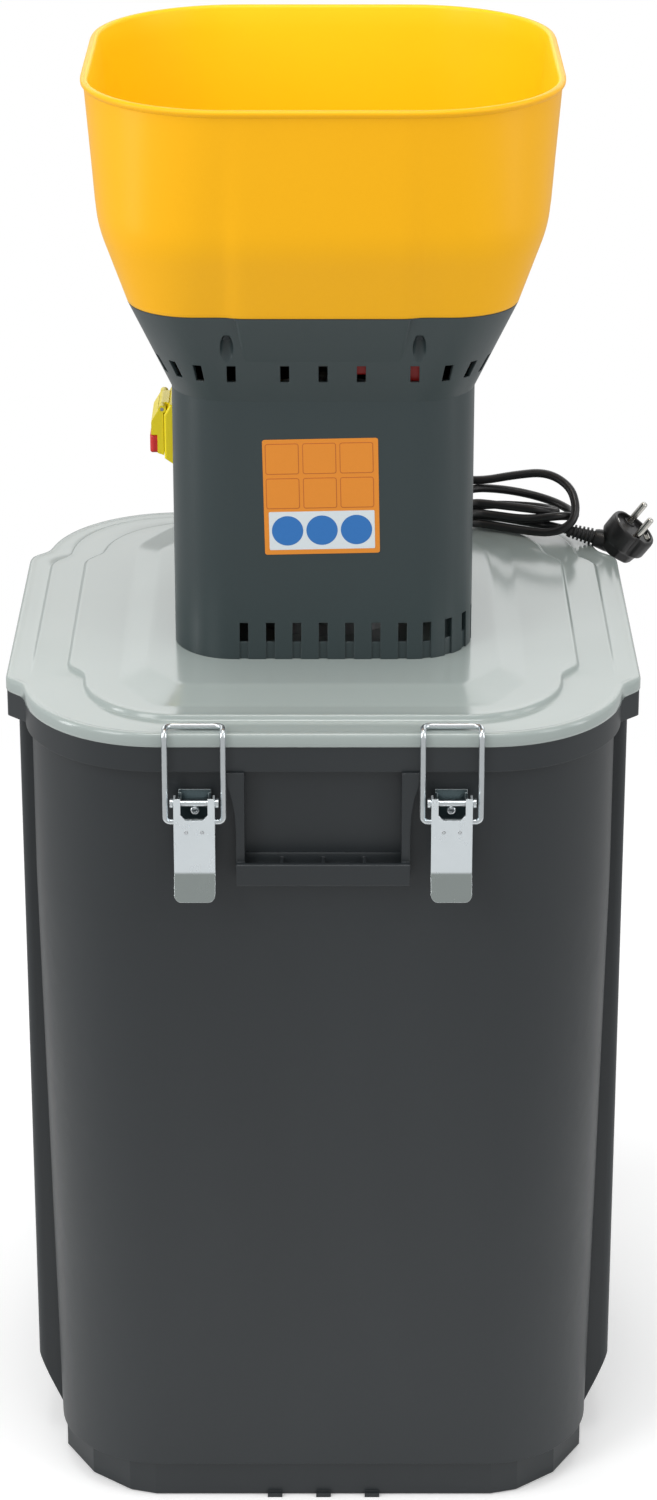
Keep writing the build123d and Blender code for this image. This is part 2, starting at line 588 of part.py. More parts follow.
with BuildPart() as armature_core:
    disc(ARMATURE_RADIUS, STACK_BOTTOM, STACK_TOP)
    with PolarLocations(ARMATURE_RADIUS, 12):
        with Locations((0, 0, (STACK_BOTTOM + STACK_TOP) / 2)):
            Box(6, 2.4, STACK_TOP - STACK_BOTTOM, mode=Mode.SUBTRACT)
    disc(SHAFT_RADIUS, STACK_BOTTOM, STACK_TOP, mode=Mode.SUBTRACT)
save(armature_core, "armature_core")

with BuildPart() as armature_windings:
    for low in (STACK_BOTTOM - 11, STACK_TOP):
        disc(22, low, low + 11)
        disc(SHAFT_RADIUS, low, low + 11, mode=Mode.SUBTRACT)
save(armature_windings, "armature_windings")

with BuildPart() as commutator:
    disc(16, 693, 711)
    disc(SHAFT_RADIUS, 693, 711, mode=Mode.SUBTRACT)
save(commutator, "commutator")

with BuildPart() as cooling_fan:
    disc(38, 605, 607)
    disc(12, 597, 605)
    with PolarLocations(24, 9):
        with Locations(Location((0, 0, 601), (0, 0, 25))):
            Box(24, 1.6, 8)
    disc(SHAFT_RADIUS, 597, 607, mode=Mode.SUBTRACT)
save(cooling_fan, "cooling_fan")

with BuildPart() as blade_hub:
    disc(14, 557, 574.5)
    disc(SHAFT_RADIUS, 557, 574.5, mode=Mode.SUBTRACT)
save(blade_hub, "blade_hub")

with BuildPart() as beater_blade:
    with BuildSketch(Plane.XY.offset(553)) as blade_outline:
        Polygon(
            (-BLADE_HALF_LENGTH, -4), (-30, -12), (30, -12), (BLADE_HALF_LENGTH, -10),
            (BLADE_HALF_LENGTH, 4), (30, 12), (-30, 12), (-BLADE_HALF_LENGTH, 10),
        )
        Circle(6, mode=Mode.SUBTRACT)
    extrude(blade_outline.sketch, amount=4)
save(beater_blade, "beater_blade")

with BuildPart() as blade_nut:
    with BuildSketch(Plane.XY.offset(545)) as nut_outline:
        RegularPolygon(11, 6)
        Circle(6, mode=Mode.SUBTRACT)
    extrude(nut_outline.sketch, amount=8)
save(blade_nut, "blade_nut")

# ---------------------------------------------------------------- grinding chamber
with BuildPart() as chamber_plate:
    disc(CHAMBER_RADIUS, 575, LID_PLATEAU - WALL)
    disc(SEAL_BORE, 575, LID_PLATEAU - WALL, mode=Mode.SUBTRACT)
    chute_hole(575, LID_PLATEAU - WALL)
    corner_holes(MOUNT_BOLT_OFFSET, 2.5, 575, LID_PLATEAU - WALL)
save(chamber_plate, "chamber_plate")

with BuildPart() as shaft_seal:
    disc(SEAL_BORE, 575, LID_PLATEAU)
    disc(SHAFT_RADIUS + RUNNING_FIT, 575, LID_PLATEAU, mode=Mode.SUBTRACT)
save(shaft_seal, "shaft_seal")

with BuildPart() as sieve_ring:
    disc(SIEVE_RADIUS, SIEVE_BOTTOM, 575)
    disc(SIEVE_RADIUS - 1.5, SIEVE_BOTTOM, 575, mode=Mode.SUBTRACT)
    for z in (544, 552, 560, 568):
        with PolarLocations(SIEVE_RADIUS, 20):
            with Locations(Location((0, 0, z), (0, 90, 0))):
                Cylinder(2, 8, mode=Mode.SUBTRACT)
save(sieve_ring, "sieve_ring")

with BuildPart() as sieve_floor:
    disc(CHAMBER_RADIUS, SIEVE_BOTTOM - 3, SIEVE_BOTTOM)
    with PolarLocations(STUD_CIRCLE, 3):
        Cylinder(2.5, 2 * RIM_TOP, mode=Mode.SUBTRACT)
save(sieve_floor, "sieve_floor")

with BuildPart() as chamber_studs:
    with PolarLocations(STUD_CIRCLE, 3):
        with Locations((0, 0, (527 + 575) / 2)):
            Cylinder(2.5, 575 - 527)
save(chamber_studs, "chamber_studs")

with BuildPart() as wing_nuts:
    with PolarLocations(STUD_CIRCLE, 3):
        with Locations((0, 0, 531.5)):
            Cylinder(5, 5)
            Box(5, 22, 5)
        with Locations((0, 0, 531.5)):
            Cylinder(2.5, 5, mode=Mode.SUBTRACT)
save(wing_nuts, "wing_nuts")

# ---------------------------------------------------------------- switch on the left wall
SWITCH_FACE = -104.0
SWITCH_HALF = 21.5
SWITCH_TOP = 729.0
SWITCH_BOTTOM = 687.0
FLAP_BACK = -104.3
FLAP_FACE = -112.5
FLAP_HALF = 20.0
FLAP_BOTTOM = 694.0
FLAP_PIN_X = -105.2
FLAP_PIN_Z = 725.5
FLAP_PIN_RADIUS = 1.2
KNUCKLE_RADIUS = 2.6
KNUCKLE_HALF = 13.0
START_Z = 714.0
STOP_Z = 701.8
BUTTON_HALF = 5.3
PADDLE_HALF = 19.4
PADDLE_TOP = 708.0
flap_hinge = Location((FLAP_PIN_X, 0, FLAP_PIN_Z), (90, 0, 0))

with BuildPart() as switch_box:
    with BuildSketch(Plane.XZ) as switch_profile:
        Polygon(
            (-TOWER_HALF, SWITCH_TOP), (-100, SWITCH_TOP), (SWITCH_FACE, SWITCH_TOP - 7),
            (SWITCH_FACE, SWITCH_BOTTOM + 5), (-TOWER_HALF, SWITCH_BOTTOM),
        )
    extrude(switch_profile.sketch, amount=SWITCH_HALF, both=True)
    front_sides = switch_box.edges().filter_by(
        lambda e: abs(abs(e.center().Y) - SWITCH_HALF) < 0.01 and e.center().X < -98)
    fillet(front_sides, radius=1.5)
    box((FLAP_PIN_X, -101), (-KNUCKLE_HALF, KNUCKLE_HALF), (FLAP_PIN_Z - 5.5, FLAP_PIN_Z + KNUCKLE_RADIUS))
    with Locations(flap_hinge):
        Cylinder(KNUCKLE_RADIUS, 2 * KNUCKLE_HALF)
        Cylinder(FLAP_PIN_RADIUS, 3 * FLAP_HALF, mode=Mode.SUBTRACT)
    pocket_half = BUTTON_HALF + 0.3
    for z in (START_Z, STOP_Z):
        box((SWITCH_FACE - 3, -98), (-pocket_half, pocket_half), (z - pocket_half, z + pocket_half), Mode.SUBTRACT)
save(switch_box, "switch_box")

with BuildPart() as switch_flap:
    with BuildSketch(Plane.XZ) as flap_profile:
        Polygon(
            (FLAP_BACK, FLAP_PIN_Z - 3.1), (-106.5, FLAP_PIN_Z + 1.5), (FLAP_FACE, FLAP_PIN_Z - 8.5),
            (FLAP_FACE, FLAP_BOTTOM + 3), (FLAP_BACK, FLAP_BOTTOM),
        )
    extrude(flap_profile.sketch, amount=FLAP_HALF, both=True)
    fillet(switch_flap.edges().filter_by(Axis.Y).sort_by(Axis.X)[:2], radius=2.5)
    box((FLAP_BACK + 1, -107.5), (3 - FLAP_HALF, FLAP_HALF - 3), (FLAP_BOTTOM + 2.2, FLAP_PIN_Z - 6), Mode.SUBTRACT)
    knuckle_gap = KNUCKLE_HALF + 0.5
    box((-108.2, -100), (-knuckle_gap, knuckle_gap), (FLAP_PIN_Z - 8.5, FLAP_PIN_Z + 5), Mode.SUBTRACT)
    box((-108.5, -115), (-FLAP_HALF, FLAP_HALF), (FLAP_BOTTOM - 4, PADDLE_TOP), Mode.SUBTRACT)
    for hand in (-1, 1):
        outer_knuckle = Location((FLAP_PIN_X, hand * (knuckle_gap + FLAP_HALF) / 2, FLAP_PIN_Z), (90, 0, 0))
        with Locations(outer_knuckle):
            Cylinder(KNUCKLE_RADIUS, FLAP_HALF - knuckle_gap)
            Cylinder(FLAP_PIN_RADIUS + RUNNING_FIT, FLAP_HALF - knuckle_gap, mode=Mode.SUBTRACT)
save(switch_flap, "switch_flap")

with BuildPart() as flap_pin:
    with Locations(flap_hinge):
        Cylinder(FLAP_PIN_RADIUS, 2 * FLAP_HALF)
save(flap_pin, "flap_pin")

with BuildPart() as stop_paddle:
    box((-108.5, -113.5), (-PADDLE_HALF, PADDLE_HALF), (FLAP_BOTTOM + 1, PADDLE_TOP))
    fillet(stop_paddle.edges().filter_by(Axis.Y).sort_by(Axis.X)[:2], radius=1.5)
    fillet(stop_paddle.edges().filter_by(Axis.X).sort_by(Axis.Z)[-2:], radius=3)
save(stop_paddle, "stop_paddle")

for button_name, middle in (("start_button", START_Z), ("stop_button", STOP_Z)):
    with BuildPart() as button:
        box((-106.7, -100.5), (-BUTTON_HALF, BUTTON_HALF), (middle - BUTTON_HALF, middle + BUTTON_HALF))
        fillet(button.faces().sort_by(Axis.X)[0].edges(), radius=1)
    save(button, button_name)


# ---------------------------------------------------------------- latches
LATCHES = [
    ("front_left", -LATCH_X, -1), ("front_right", LATCH_X, -1),
    ("rear_left", -LATCH_X, 1), ("rear_right", LATCH_X, 1),
]

with BuildPart() as latch_bases:
    for place, x, side in LATCHES:
        wall = side * BODY_HALF_DEPTH
        box((x - 10.3, x + 10.3), (wall, wall + side * 1.4), (512, 533))
        for hand in (-1, 1):
            ear = (x + hand * 8.9, x + hand * 10.3)
            box(ear, (wall, side * LATCH_PIN_Y), (LATCH_PIN_Z - 4, LATCH_PIN_Z + 1.5))
            cross_pin(EAR_RADIUS, ear, side * LATCH_PIN_Y, LATCH_PIN_Z)
    for place, x, side in LATCHES:
        cross_pin(LATCH_PIN_RADIUS, (x - 20, x + 20), side * LATCH_PIN_Y, LATCH_PIN_Z, Mode.SUBTRACT)
        with Locations((x, side * BODY_HALF_DEPTH, LATCH_SCREW_Z)):
            Cylinder(LATCH_SCREW_RADIUS, 10, rotation=(90, 0, 0), mode=Mode.SUBTRACT)
save(latch_bases, "latch_bases")


def latch_lever(x, side):
    """Pressed channel: a face plate with side cheeks round the pins and a finger tip bent outwards."""
    face = side * 213.7
    back = face - side * SHEET
    half = LEVER_HALF_WIDTH
    with BuildPart() as lever:
        with BuildSketch(Plane.YZ.offset(x)) as profile:
            Polygon(
                (face, LEVER_TOP), (back, LEVER_TOP), (back, LEVER_BEND), (back + side * 8, LEVER_TIP),
                (back + side * (8 + SHEET), LEVER_TIP), (face, LEVER_BEND),
            )
        extrude(profile.sketch, amount=half, both=True)
        with BuildSketch(Plane.XZ.offset(-face)) as front_outline:
            Polygon(
                (x - 12, LEVER_TOP), (x - half, 510), (x - half, LEVER_TIP),
                (x + half, LEVER_TIP), (x + half, 510), (x + 12, LEVER_TOP),
            )
            fillet(front_outline.vertices().group_by(Axis.Y)[0], radius=4.5)
        extrude(front_outline.sketch, amount=20, both=True, mode=Mode.INTERSECT)
        for hand in (-1, 1):
            box((x + hand * (half - SHEET), x + hand * half), (face, side * 203.6), (510, LEVER_TOP))
        cheek_corners = lever.edges().filter_by(Axis.X).filter_by(lambda e: abs(abs(e.center().Y) - 203.6) < 0.01)
        fillet(cheek_corners, radius=4)
        with BuildSketch(Plane.XZ.offset(-face)) as notch:
            Polygon(
                (x - 8.5, 540), (x - 8.5, 523), (x - 5.5, 519.5), (x + 5.5, 519.5), (x + 8.5, 523), (x + 8.5, 540),
            )
        extrude(notch.sketch, amount=4, both=True, mode=Mode.SUBTRACT)
        cross_pin(LATCH_PIN_RADIUS + RUNNING_FIT, (x - 20, x + 20), side * LATCH_PIN_Y, LATCH_PIN_Z,
                  Mode.SUBTRACT)
        cross_pin(BAIL_RADIUS + RUNNING_FIT, (x - 20, x + 20), side * BAIL_PIVOT_Y, BAIL_PIVOT_Z, Mode.SUBTRACT)
    return lever


def latch_bail(x, side):
    """Wire loop: its ends sit in the lever's cheeks and its top hooks over the lid's edge."""
    outer = side * BAIL_PIVOT_Y
    inner = side * (BAIL_PIVOT_Y - BAIL_REACH)
    leg = BAIL_HALF_WIDTH
    with BuildPart() as bail:
        with BuildLine() as route:
            FilletPolyline(
                (x - 11.2, outer, BAIL_PIVOT_Z), (x - leg, outer, BAIL_PIVOT_Z), (x - leg, outer, BAIL_TOP_Z),
                (x - leg, inner, BAIL_TOP_Z), (x + leg, inner, BAIL_TOP_Z), (x + leg, outer, BAIL_TOP_Z),
                (x + leg, outer, BAIL_PIVOT_Z), (x + 11.2, outer, BAIL_PIVOT_Z),
                radius=[3.2, 4, 5, 5, 4, 3.2],
            )
        with BuildSketch(Plane(origin=(x - 11.2, outer, BAIL_PIVOT_Z), z_dir=(-1, 0, 0))) as section:
            Circle(BAIL_RADIUS)
        sweep(section.sketch, path=route.line)
    return bail


for place, x, side in LATCHES:
    save(latch_lever(x, side), f"latch_lever_{place}")
    save(latch_bail(x, side), f"latch_bail_{place}")

with BuildPart() as latch_pins:
    for place, x, side in LATCHES:
        cross_pin(LATCH_PIN_RADIUS, (x - 15.2, x + 15.2), side * LATCH_PIN_Y, LATCH_PIN_Z)
        for hand in (-1, 1):
            cross_pin(3.0, (x + hand * 13.4, x + hand * 15.2), side * LATCH_PIN_Y, LATCH_PIN_Z)
save(latch_pins, "latch_pins")

with BuildPart() as latch_screws:
    for place, x, side in LATCHES:
        seat = BODY_HALF_DEPTH + 1.4
        with Locations((x, side * (seat - 4), LATCH_SCREW_Z)):
            Cylinder(LATCH_SCREW_RADIUS, 8, rotation=(90, 0, 0))
        with Locations((x, side * (seat + 0.9), LATCH_SCREW_Z)):
            Cylinder(2.95, 1.8, rotation=(90, 0, 0))
save(latch_screws, "latch_screws")

# ---------------------------------------------------------------- mains lead
with BuildPart() as cord_gland:
    with BuildSketch(Plane(origin=(GLAND_X, 0, GLAND_Z))) as gland_profile:
        Polygon(
            (CORD_RADIUS, TOWER_HALF - 6), (8, TOWER_HALF - 6), (8, TOWER_HALF - WALL), (5, TOWER_HALF - WALL),
            (5, TOWER_HALF), (8, TOWER_HALF), (7.4, TOWER_HALF + 4), (4.4, TOWER_HALF + GLAND_LENGTH),
            (CORD_RADIUS, TOWER_HALF + GLAND_LENGTH),
        )
    revolve(gland_profile.sketch, axis=Axis((GLAND_X, 0, GLAND_Z), (0, 1, 0)))
save(cord_gland, "cord_gland")


def corner_radii(points):
    """0.45 of the shorter run beside each corner, divided by the tangent of half the turn."""
    radii = []
    for before, corner, after in zip(points, points[1:], points[2:]):
        run_in = Vector(corner) - Vector(before)
        run_out = Vector(after) - Vector(corner)
        turn = radians(run_in.get_angle(run_out))
        radii.append(0.45 * min(run_in.length, run_out.length) / tan(turn / 2))
    return radii


def lead(points):
    radii = corner_radii(points)
    print("lead radii", [round(radius, 1) for radius in radii])
    with BuildPart() as tube:
        with BuildLine() as route:
            FilletPolyline(*points, radius=radii)
        with BuildSketch(Plane(origin=points[0], z_dir=Vector(points[1]) - Vector(points[0]))) as section:
            Circle(CORD_RADIUS)
        sweep(section.sketch, path=route.line)
    length = sum(edge.length for edge in route.edges())
    expected = pi * CORD_RADIUS ** 2 * length
    print("lead length", round(length, 1), "volume ratio", round(tube.part.volume / expected, 4))
    return tube


CORD_ROUTE = [
    (30, 131, 640), (32, 165, 634), (55, 186, 620), (88, 184, 611), (122, 173, 616), (158, 168, 621),
    (176.7, 152.7, 610.3), (176.7, 130.9, 595.2), (158, 115.5, 586.3), (130, 112.8, 587.6),
]
mains_cord = lead(CORD_ROUTE)
save(mains_cord, "mains_cord")

# the folded length lies flat on the lid behind the tower, gathered by a tie at its waist
HANK_Y = 132.0
HANK_LOBES = (-50.0, 127.0)
HANK_HALF_WIDTH = 29.5
HANK_WAIST = (20.0, 56.0)
HANK_WAIST_HALF_WIDTH = 13.2
HANK_Z = (LID_PLATEAU + 0.4, LID_PLATEAU + 14.4)
TIE_X = (35.0, 41.0)

with BuildPart() as cord_hank:
    with BuildSketch(Plane(origin=(0, HANK_Y, HANK_Z[0]))) as hank_outline:
        for x in HANK_LOBES:
            with Locations((x, 0)):
                Circle(HANK_HALF_WIDTH)
        for side in (-1, 1):
            lobe_edge = side * HANK_HALF_WIDTH
            waist_edge = side * HANK_WAIST_HALF_WIDTH
            Polygon(
                (HANK_LOBES[0], 0), (HANK_LOBES[0], lobe_edge), (HANK_WAIST[0], waist_edge),
                (HANK_WAIST[1], waist_edge), (HANK_LOBES[1], lobe_edge), (HANK_LOBES[1], 0),
            )
    extrude(hank_outline.sketch, amount=HANK_Z[1] - HANK_Z[0])
    fillet(cord_hank.faces().sort_by(Axis.Z)[-1].edges(), radius=2)
save(cord_hank, "cord_hank")

tie_inside = (HANK_Y - HANK_WAIST_HALF_WIDTH, HANK_Y + HANK_WAIST_HALF_WIDTH)

with BuildPart() as cord_tie:
    box(TIE_X, (tie_inside[0] - 1.5, tie_inside[1] + 1.5), (LID_PLATEAU, HANK_Z[1] + 1.5))
    box(TIE_X, tie_inside, HANK_Z, Mode.SUBTRACT)
save(cord_tie, "cord_tie")

# plug: a round moulded body beside the lid's edge, hanging from the ribbed neck that lies on the lid
PLUG_CENTRE = Vector(213.5, 133, 581)
PLUG_RADIUS = 17.5
PLUG_FRONT = 9.0
PLUG_BACK = -15.0
PLUG_RECESS = 3.0
PIN_RADIUS = 2.4
PIN_LENGTH = 19.0
plug_face = Vector(0.572, -0.139, 0.802).normalized()
pin_line = Vector(0.165, -0.95, -0.264).normalized()
neck_start = Vector(172, 138, 584)
neck_root = PLUG_CENTRE - plug_face * 8
plug_neck = (neck_root - neck_start).normalized()

TAIL_ROUTE = [
    (88, 154, 588), (122, 161.5, 589),
    tuple(neck_start - plug_neck * 18.7), tuple(neck_start),
]
cord_tail = lead(TAIL_ROUTE)
save(cord_tail, "cord_tail")

plug_plane = Plane(origin=PLUG_CENTRE, x_dir=pin_line, z_dir=plug_face)
with BuildPart(plug_plane) as plug_body:
    with Locations((0, 0, (PLUG_FRONT + PLUG_BACK) / 2)):
        Cylinder(PLUG_RADIUS, PLUG_FRONT - PLUG_BACK)
    fillet(plug_body.edges(), radius=2)
    with BuildSketch(Plane(origin=neck_start, z_dir=plug_neck)) as neck_tip:
        Circle(4.2)
    with BuildSketch(Plane(origin=neck_root, z_dir=plug_neck)) as neck_foot:
        Circle(6.4)
    loft([neck_tip.sketch, neck_foot.sketch])
    with Locations((0, 0, PLUG_FRONT - PLUG_RECESS / 2)):
        Cylinder(14.5, PLUG_RECESS, mode=Mode.SUBTRACT)
save(plug_body, "plug_body")

with BuildPart(plug_plane) as plug_pins:
    for offset in (-9.5, 9.5):
        with Locations((offset, 0, PLUG_FRONT - PLUG_RECESS + PIN_LENGTH / 2)):
            Cylinder(PIN_RADIUS, PIN_LENGTH)
    fillet(plug_pins.edges().filter_by(lambda e: (e.center() - PLUG_CENTRE).dot(plug_face) > PIN_LENGTH), radius=1)
save(plug_pins, "plug_pins")
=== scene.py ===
import json
from math import atan2, cos, pi, radians, sin

import bmesh
import bpy
from mathutils import Matrix, Vector


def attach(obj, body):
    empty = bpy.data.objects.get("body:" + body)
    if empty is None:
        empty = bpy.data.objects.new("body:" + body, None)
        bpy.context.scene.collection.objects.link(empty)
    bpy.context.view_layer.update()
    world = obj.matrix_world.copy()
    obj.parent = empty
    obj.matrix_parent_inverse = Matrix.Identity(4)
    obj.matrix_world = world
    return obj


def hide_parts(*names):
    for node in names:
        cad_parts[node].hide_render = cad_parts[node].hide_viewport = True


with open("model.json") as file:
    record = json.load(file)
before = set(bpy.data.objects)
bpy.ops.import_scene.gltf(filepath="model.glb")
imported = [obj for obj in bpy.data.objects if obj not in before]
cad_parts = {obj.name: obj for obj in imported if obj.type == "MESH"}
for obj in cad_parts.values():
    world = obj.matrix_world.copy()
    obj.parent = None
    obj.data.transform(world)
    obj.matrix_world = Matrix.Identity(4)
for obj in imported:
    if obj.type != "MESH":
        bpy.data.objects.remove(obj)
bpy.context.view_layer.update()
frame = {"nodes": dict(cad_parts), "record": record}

nodes = frame["nodes"]
scene = bpy.context.scene
scene.view_settings.view_transform = "Standard"
MM = 0.001

# Every latch: its place, its x in millimetres and the side of the bin it is on.
LATCHES = [
    ("front_left", -80.5, -1), ("front_right", 80.5, -1),
    ("rear_left", -80.5, 1), ("rear_right", 80.5, 1),
]

# ---------------------------------------------------------------- camera
CAMERA_PLACE = (0.0034, -2.345, 1.494)
CAMERA_TILT = 0.37
SENSOR_WIDTH = 36.0
LENS = 89.98
SHIFT_UP = -0.1
VIEW_END = 50.0

camera_data = bpy.data.cameras.new("camera")
camera_data.sensor_width = SENSOR_WIDTH
camera_data.lens = LENS
camera_data.shift_y = SHIFT_UP
camera_data.clip_end = VIEW_END
camera = bpy.data.objects.new("camera", camera_data)
camera.location = CAMERA_PLACE
camera.rotation_euler = (pi / 2 - CAMERA_TILT, 0.0, 0.0)
scene.collection.objects.link(camera)
scene.camera = camera


# ---------------------------------------------------------------- finishes
def colour(red, green, blue):
    """A display colour, 0 to 255, as the linear colour a shader wants."""
    linear = []
    for part in (red, green, blue):
        value = part / 255.0
        linear.append(value / 12.92 if value <= 0.04045 else ((value + 0.055) / 1.055) ** 2.4)
    return (*linear, 1.0)


def shaded(tint, factor, lift=0.0):
    """A colour made darker or lighter."""
    return tuple(min(channel * factor + lift, 1.0) for channel in tint[:3]) + (1.0,)


class Signal:
    """An output socket that can be used in Python expressions."""

    def __init__(self, finish, socket):
        self.finish = finish
        self.socket = socket

    def __add__(self, other):
        return self.finish.maths("ADD", self, other)

    def __radd__(self, other):
        return self.finish.maths("ADD", other, self)

    def __sub__(self, other):
        return self.finish.maths("SUBTRACT", self, other)

    def __rsub__(self, other):
        return self.finish.maths("SUBTRACT", other, self)

    def __mul__(self, other):
        return self.finish.maths("MULTIPLY", self, other)

    def __truediv__(self, other):
        return self.finish.maths("DIVIDE", self, other)

    def clip(self):
        return self.finish.node("ShaderNodeClamp", {}, {0: self})

    def above(self, edge, softness):
        """0 below the edge and 1 above it, with a soft step between."""
        return ((self - edge) / softness + 0.5).clip()


class Finish:
    """One material and its nodes."""

    # Sockets of the mix node when it mixes colours.
    MIX_FIRST = 6
    MIX_SECOND = 7
    MIX_RESULT = 2
    BEVEL_SAMPLES = 4
    EDGE_CONTRAST = 6.0
    FACING_CONTRAST = -40.0

    def __init__(self, name):
        self.material = bpy.data.materials.new(name)
        self.material.use_nodes = True
        self.tree = self.material.node_tree
        self.tree.nodes.clear()

    def node(self, kind, settings=None, inputs=None, output=0):
        node = self.tree.nodes.new(kind)
        for key, value in (settings or {}).items():
            setattr(node, key, value)
        for key, value in (inputs or {}).items():
            if isinstance(value, Signal):
                self.tree.links.new(value.socket, node.inputs[key])
            else:
                node.inputs[key].default_value = value
        return Signal(self, node.outputs[output]) if len(node.outputs) else None

    def maths(self, operation, first, second):
        return self.node("ShaderNodeMath", {"operation": operation}, {0: first, 1: second})

    def vector_maths(self, operation, inputs, output):
        return self.node("ShaderNodeVectorMath", {"operation": operation}, inputs, output)

    def place(self, stretch=(1.0, 1.0, 1.0)):
        coordinates = self.node("ShaderNodeTexCoord", output="Object")
        return self.node("ShaderNodeMapping", {}, {"Vector": coordinates, "Scale": stretch})

    def noise(self, where, scale, detail=2.0, distortion=0.0):
        return self.node("ShaderNodeTexNoise", {}, {
            "Vector": where, "Scale": scale, "Detail": detail, "Distortion": distortion,
        }, "Fac")

    def between(self, factor, first, second):
        inputs = {0: factor, self.MIX_FIRST: first, self.MIX_SECOND: second}
        return self.node("ShaderNodeMix", {"data_type": "RGBA"}, inputs, self.MIX_RESULT)

    def rounded(self, radius):
        """The surface direction as if every sharp edge had this radius."""
        return self.node("ShaderNodeBevel", {"samples": self.BEVEL_SAMPLES}, {"Radius": radius})

    def bump(self, height, distance, normal):
        inputs = {"Height": height, "Distance": distance, "Strength": 1.0, "Normal": normal}
        return self.node("ShaderNodeBump", {}, inputs)

    def edge_mask(self, rounded):
        """1 on rounded-over edges, 0 on open surfaces."""
        direction = self.node("ShaderNodeNewGeometry", output="True Normal")
        along = self.vector_maths("DOT_PRODUCT", {0: rounded, 1: direction}, "Value")
        return ((1.0 - along) * self.EDGE_CONTRAST).clip()

    def facing_in(self):
        """1 where a surface faces the upright axis of the mill, 0 where it faces away."""
        direction = self.node("ShaderNodeNewGeometry", output="True Normal")
        outward = self.vector_maths("MULTIPLY", {0: self.place(), 1: (1.0, 1.0, 0.0)}, "Vector")
        along = self.vector_maths("DOT_PRODUCT", {0: outward, 1: direction}, "Value")
        return (along * self.FACING_CONTRAST).clip()

    def surface(self, **sockets):
        shader = self.node("ShaderNodeBsdfPrincipled", {}, {
            name.replace("_", " "): value for name, value in sockets.items()
        })
        self.node("ShaderNodeOutputMaterial", {}, {"Surface": shader})
        return self.material


FLOW_STRETCH = (1.0, 1.0, 0.35)
STREAK_DEPTH = 2.2
COAT_ROUGHNESS = 0.12
PAINTED_FOOT_SHADE_SOFTNESS = 0.0016
BRUSH_DEPTH = 0.00008


def moulded(name, tint, gloss, grain=0.00003, edge=0.0012, streak=0.04, haze=0.06, coat=0.0,
            shine=0.5, inside_painted_light=None):
    """Moulded plastic: faint flow marks, a fine grain, softened and slightly polished edges."""
    finish = Finish(name)
    where = finish.place()
    flow = finish.noise(finish.place(FLOW_STRETCH), 5.5, 3.0, 0.6)
    speck = finish.noise(where, 420.0, 3.0)
    fine = finish.noise(where, 1400.0)
    rub = finish.noise(where, 38.0, 4.0, 0.4)
    rounded = finish.rounded(edge)
    edge_mask = finish.edge_mask(rounded)
    dark = shaded(tint, 1.0 - streak * STREAK_DEPTH)
    light = shaded(tint, 1.0 + streak * STREAK_DEPTH, 0.002)
    worn = shaded(tint, 1.25, 0.01)
    body = finish.between((flow * 0.8 + speck * 0.2).above(0.5, 0.5), dark, light)
    body = finish.between(edge_mask * 0.35 * rub.above(0.45, 0.4), body, worn)
    # Painted light: walls that face the mill's upright axis get a lighter copy of the colour.
    if inside_painted_light:
        body = finish.between(finish.facing_in(), body, inside_painted_light)
    return finish.surface(
        Base_Color=body,
        Roughness=gloss + (rub - 0.5) * haze + (fine - 0.5) * 0.05 - edge_mask * 0.05,
        Normal=finish.bump(fine, grain, rounded),
        Coat_Weight=coat,
        Coat_Roughness=COAT_ROUGHNESS,
        Specular_IOR_Level=shine,
    )


def plated(name, tint, gloss, brush=(1.0, 1.0, 1.0), edge=0.0004, stain=0.12, metal=1.0, rub=0.18,
           rim=None, foot=None):
    """Plated or bare metal: rubbed streaks and a faint bloom.

    The rim is the colour of the edges, a painted highlight. The foot is a height and the colour
    below it, a painted shade.
    """
    finish = Finish(name)
    where = finish.place()
    lines = finish.noise(finish.place(brush), 260.0, 3.0)
    bloom = finish.noise(where, 85.0, 4.0, 0.8)
    rounded = finish.rounded(edge)
    body = finish.between(bloom.above(0.52, 0.35), tint, shaded(tint, 1.0 - stain))
    # Painted shade: below the foot height the darker foot colour stands in for a dark reflection
    # low on the part.
    if foot:
        height = finish.node("ShaderNodeSeparateXYZ", {}, {0: where}, "Z")
        body = finish.between(height.above(foot[0], PAINTED_FOOT_SHADE_SOFTNESS), foot[1], body)
    # Painted highlight: rounded-over edges get the lighter rim colour.
    if rim:
        body = finish.between(finish.edge_mask(rounded), body, rim)
    return finish.surface(
        Base_Color=body,
        Metallic=metal,
        Roughness=gloss + (lines - 0.5) * rub + (bloom - 0.5) * 0.10,
        Normal=finish.bump(lines, BRUSH_DEPTH * rub, rounded),
    )


SMALL_EDGE = 0.0006
UPRIGHT = (1.0, 1.0, 0.15)

bin_plastic = moulded("bin_plastic", colour(36, 41, 44), 0.42, streak=0.05)
lid_plastic = moulded(
    "lid_plastic", colour(160, 170, 167), 0.16, grain=0.000008, streak=0.012, haze=0.04, coat=0.35)
housing_plastic = moulded("housing_plastic", colour(48, 60, 62), 0.36)
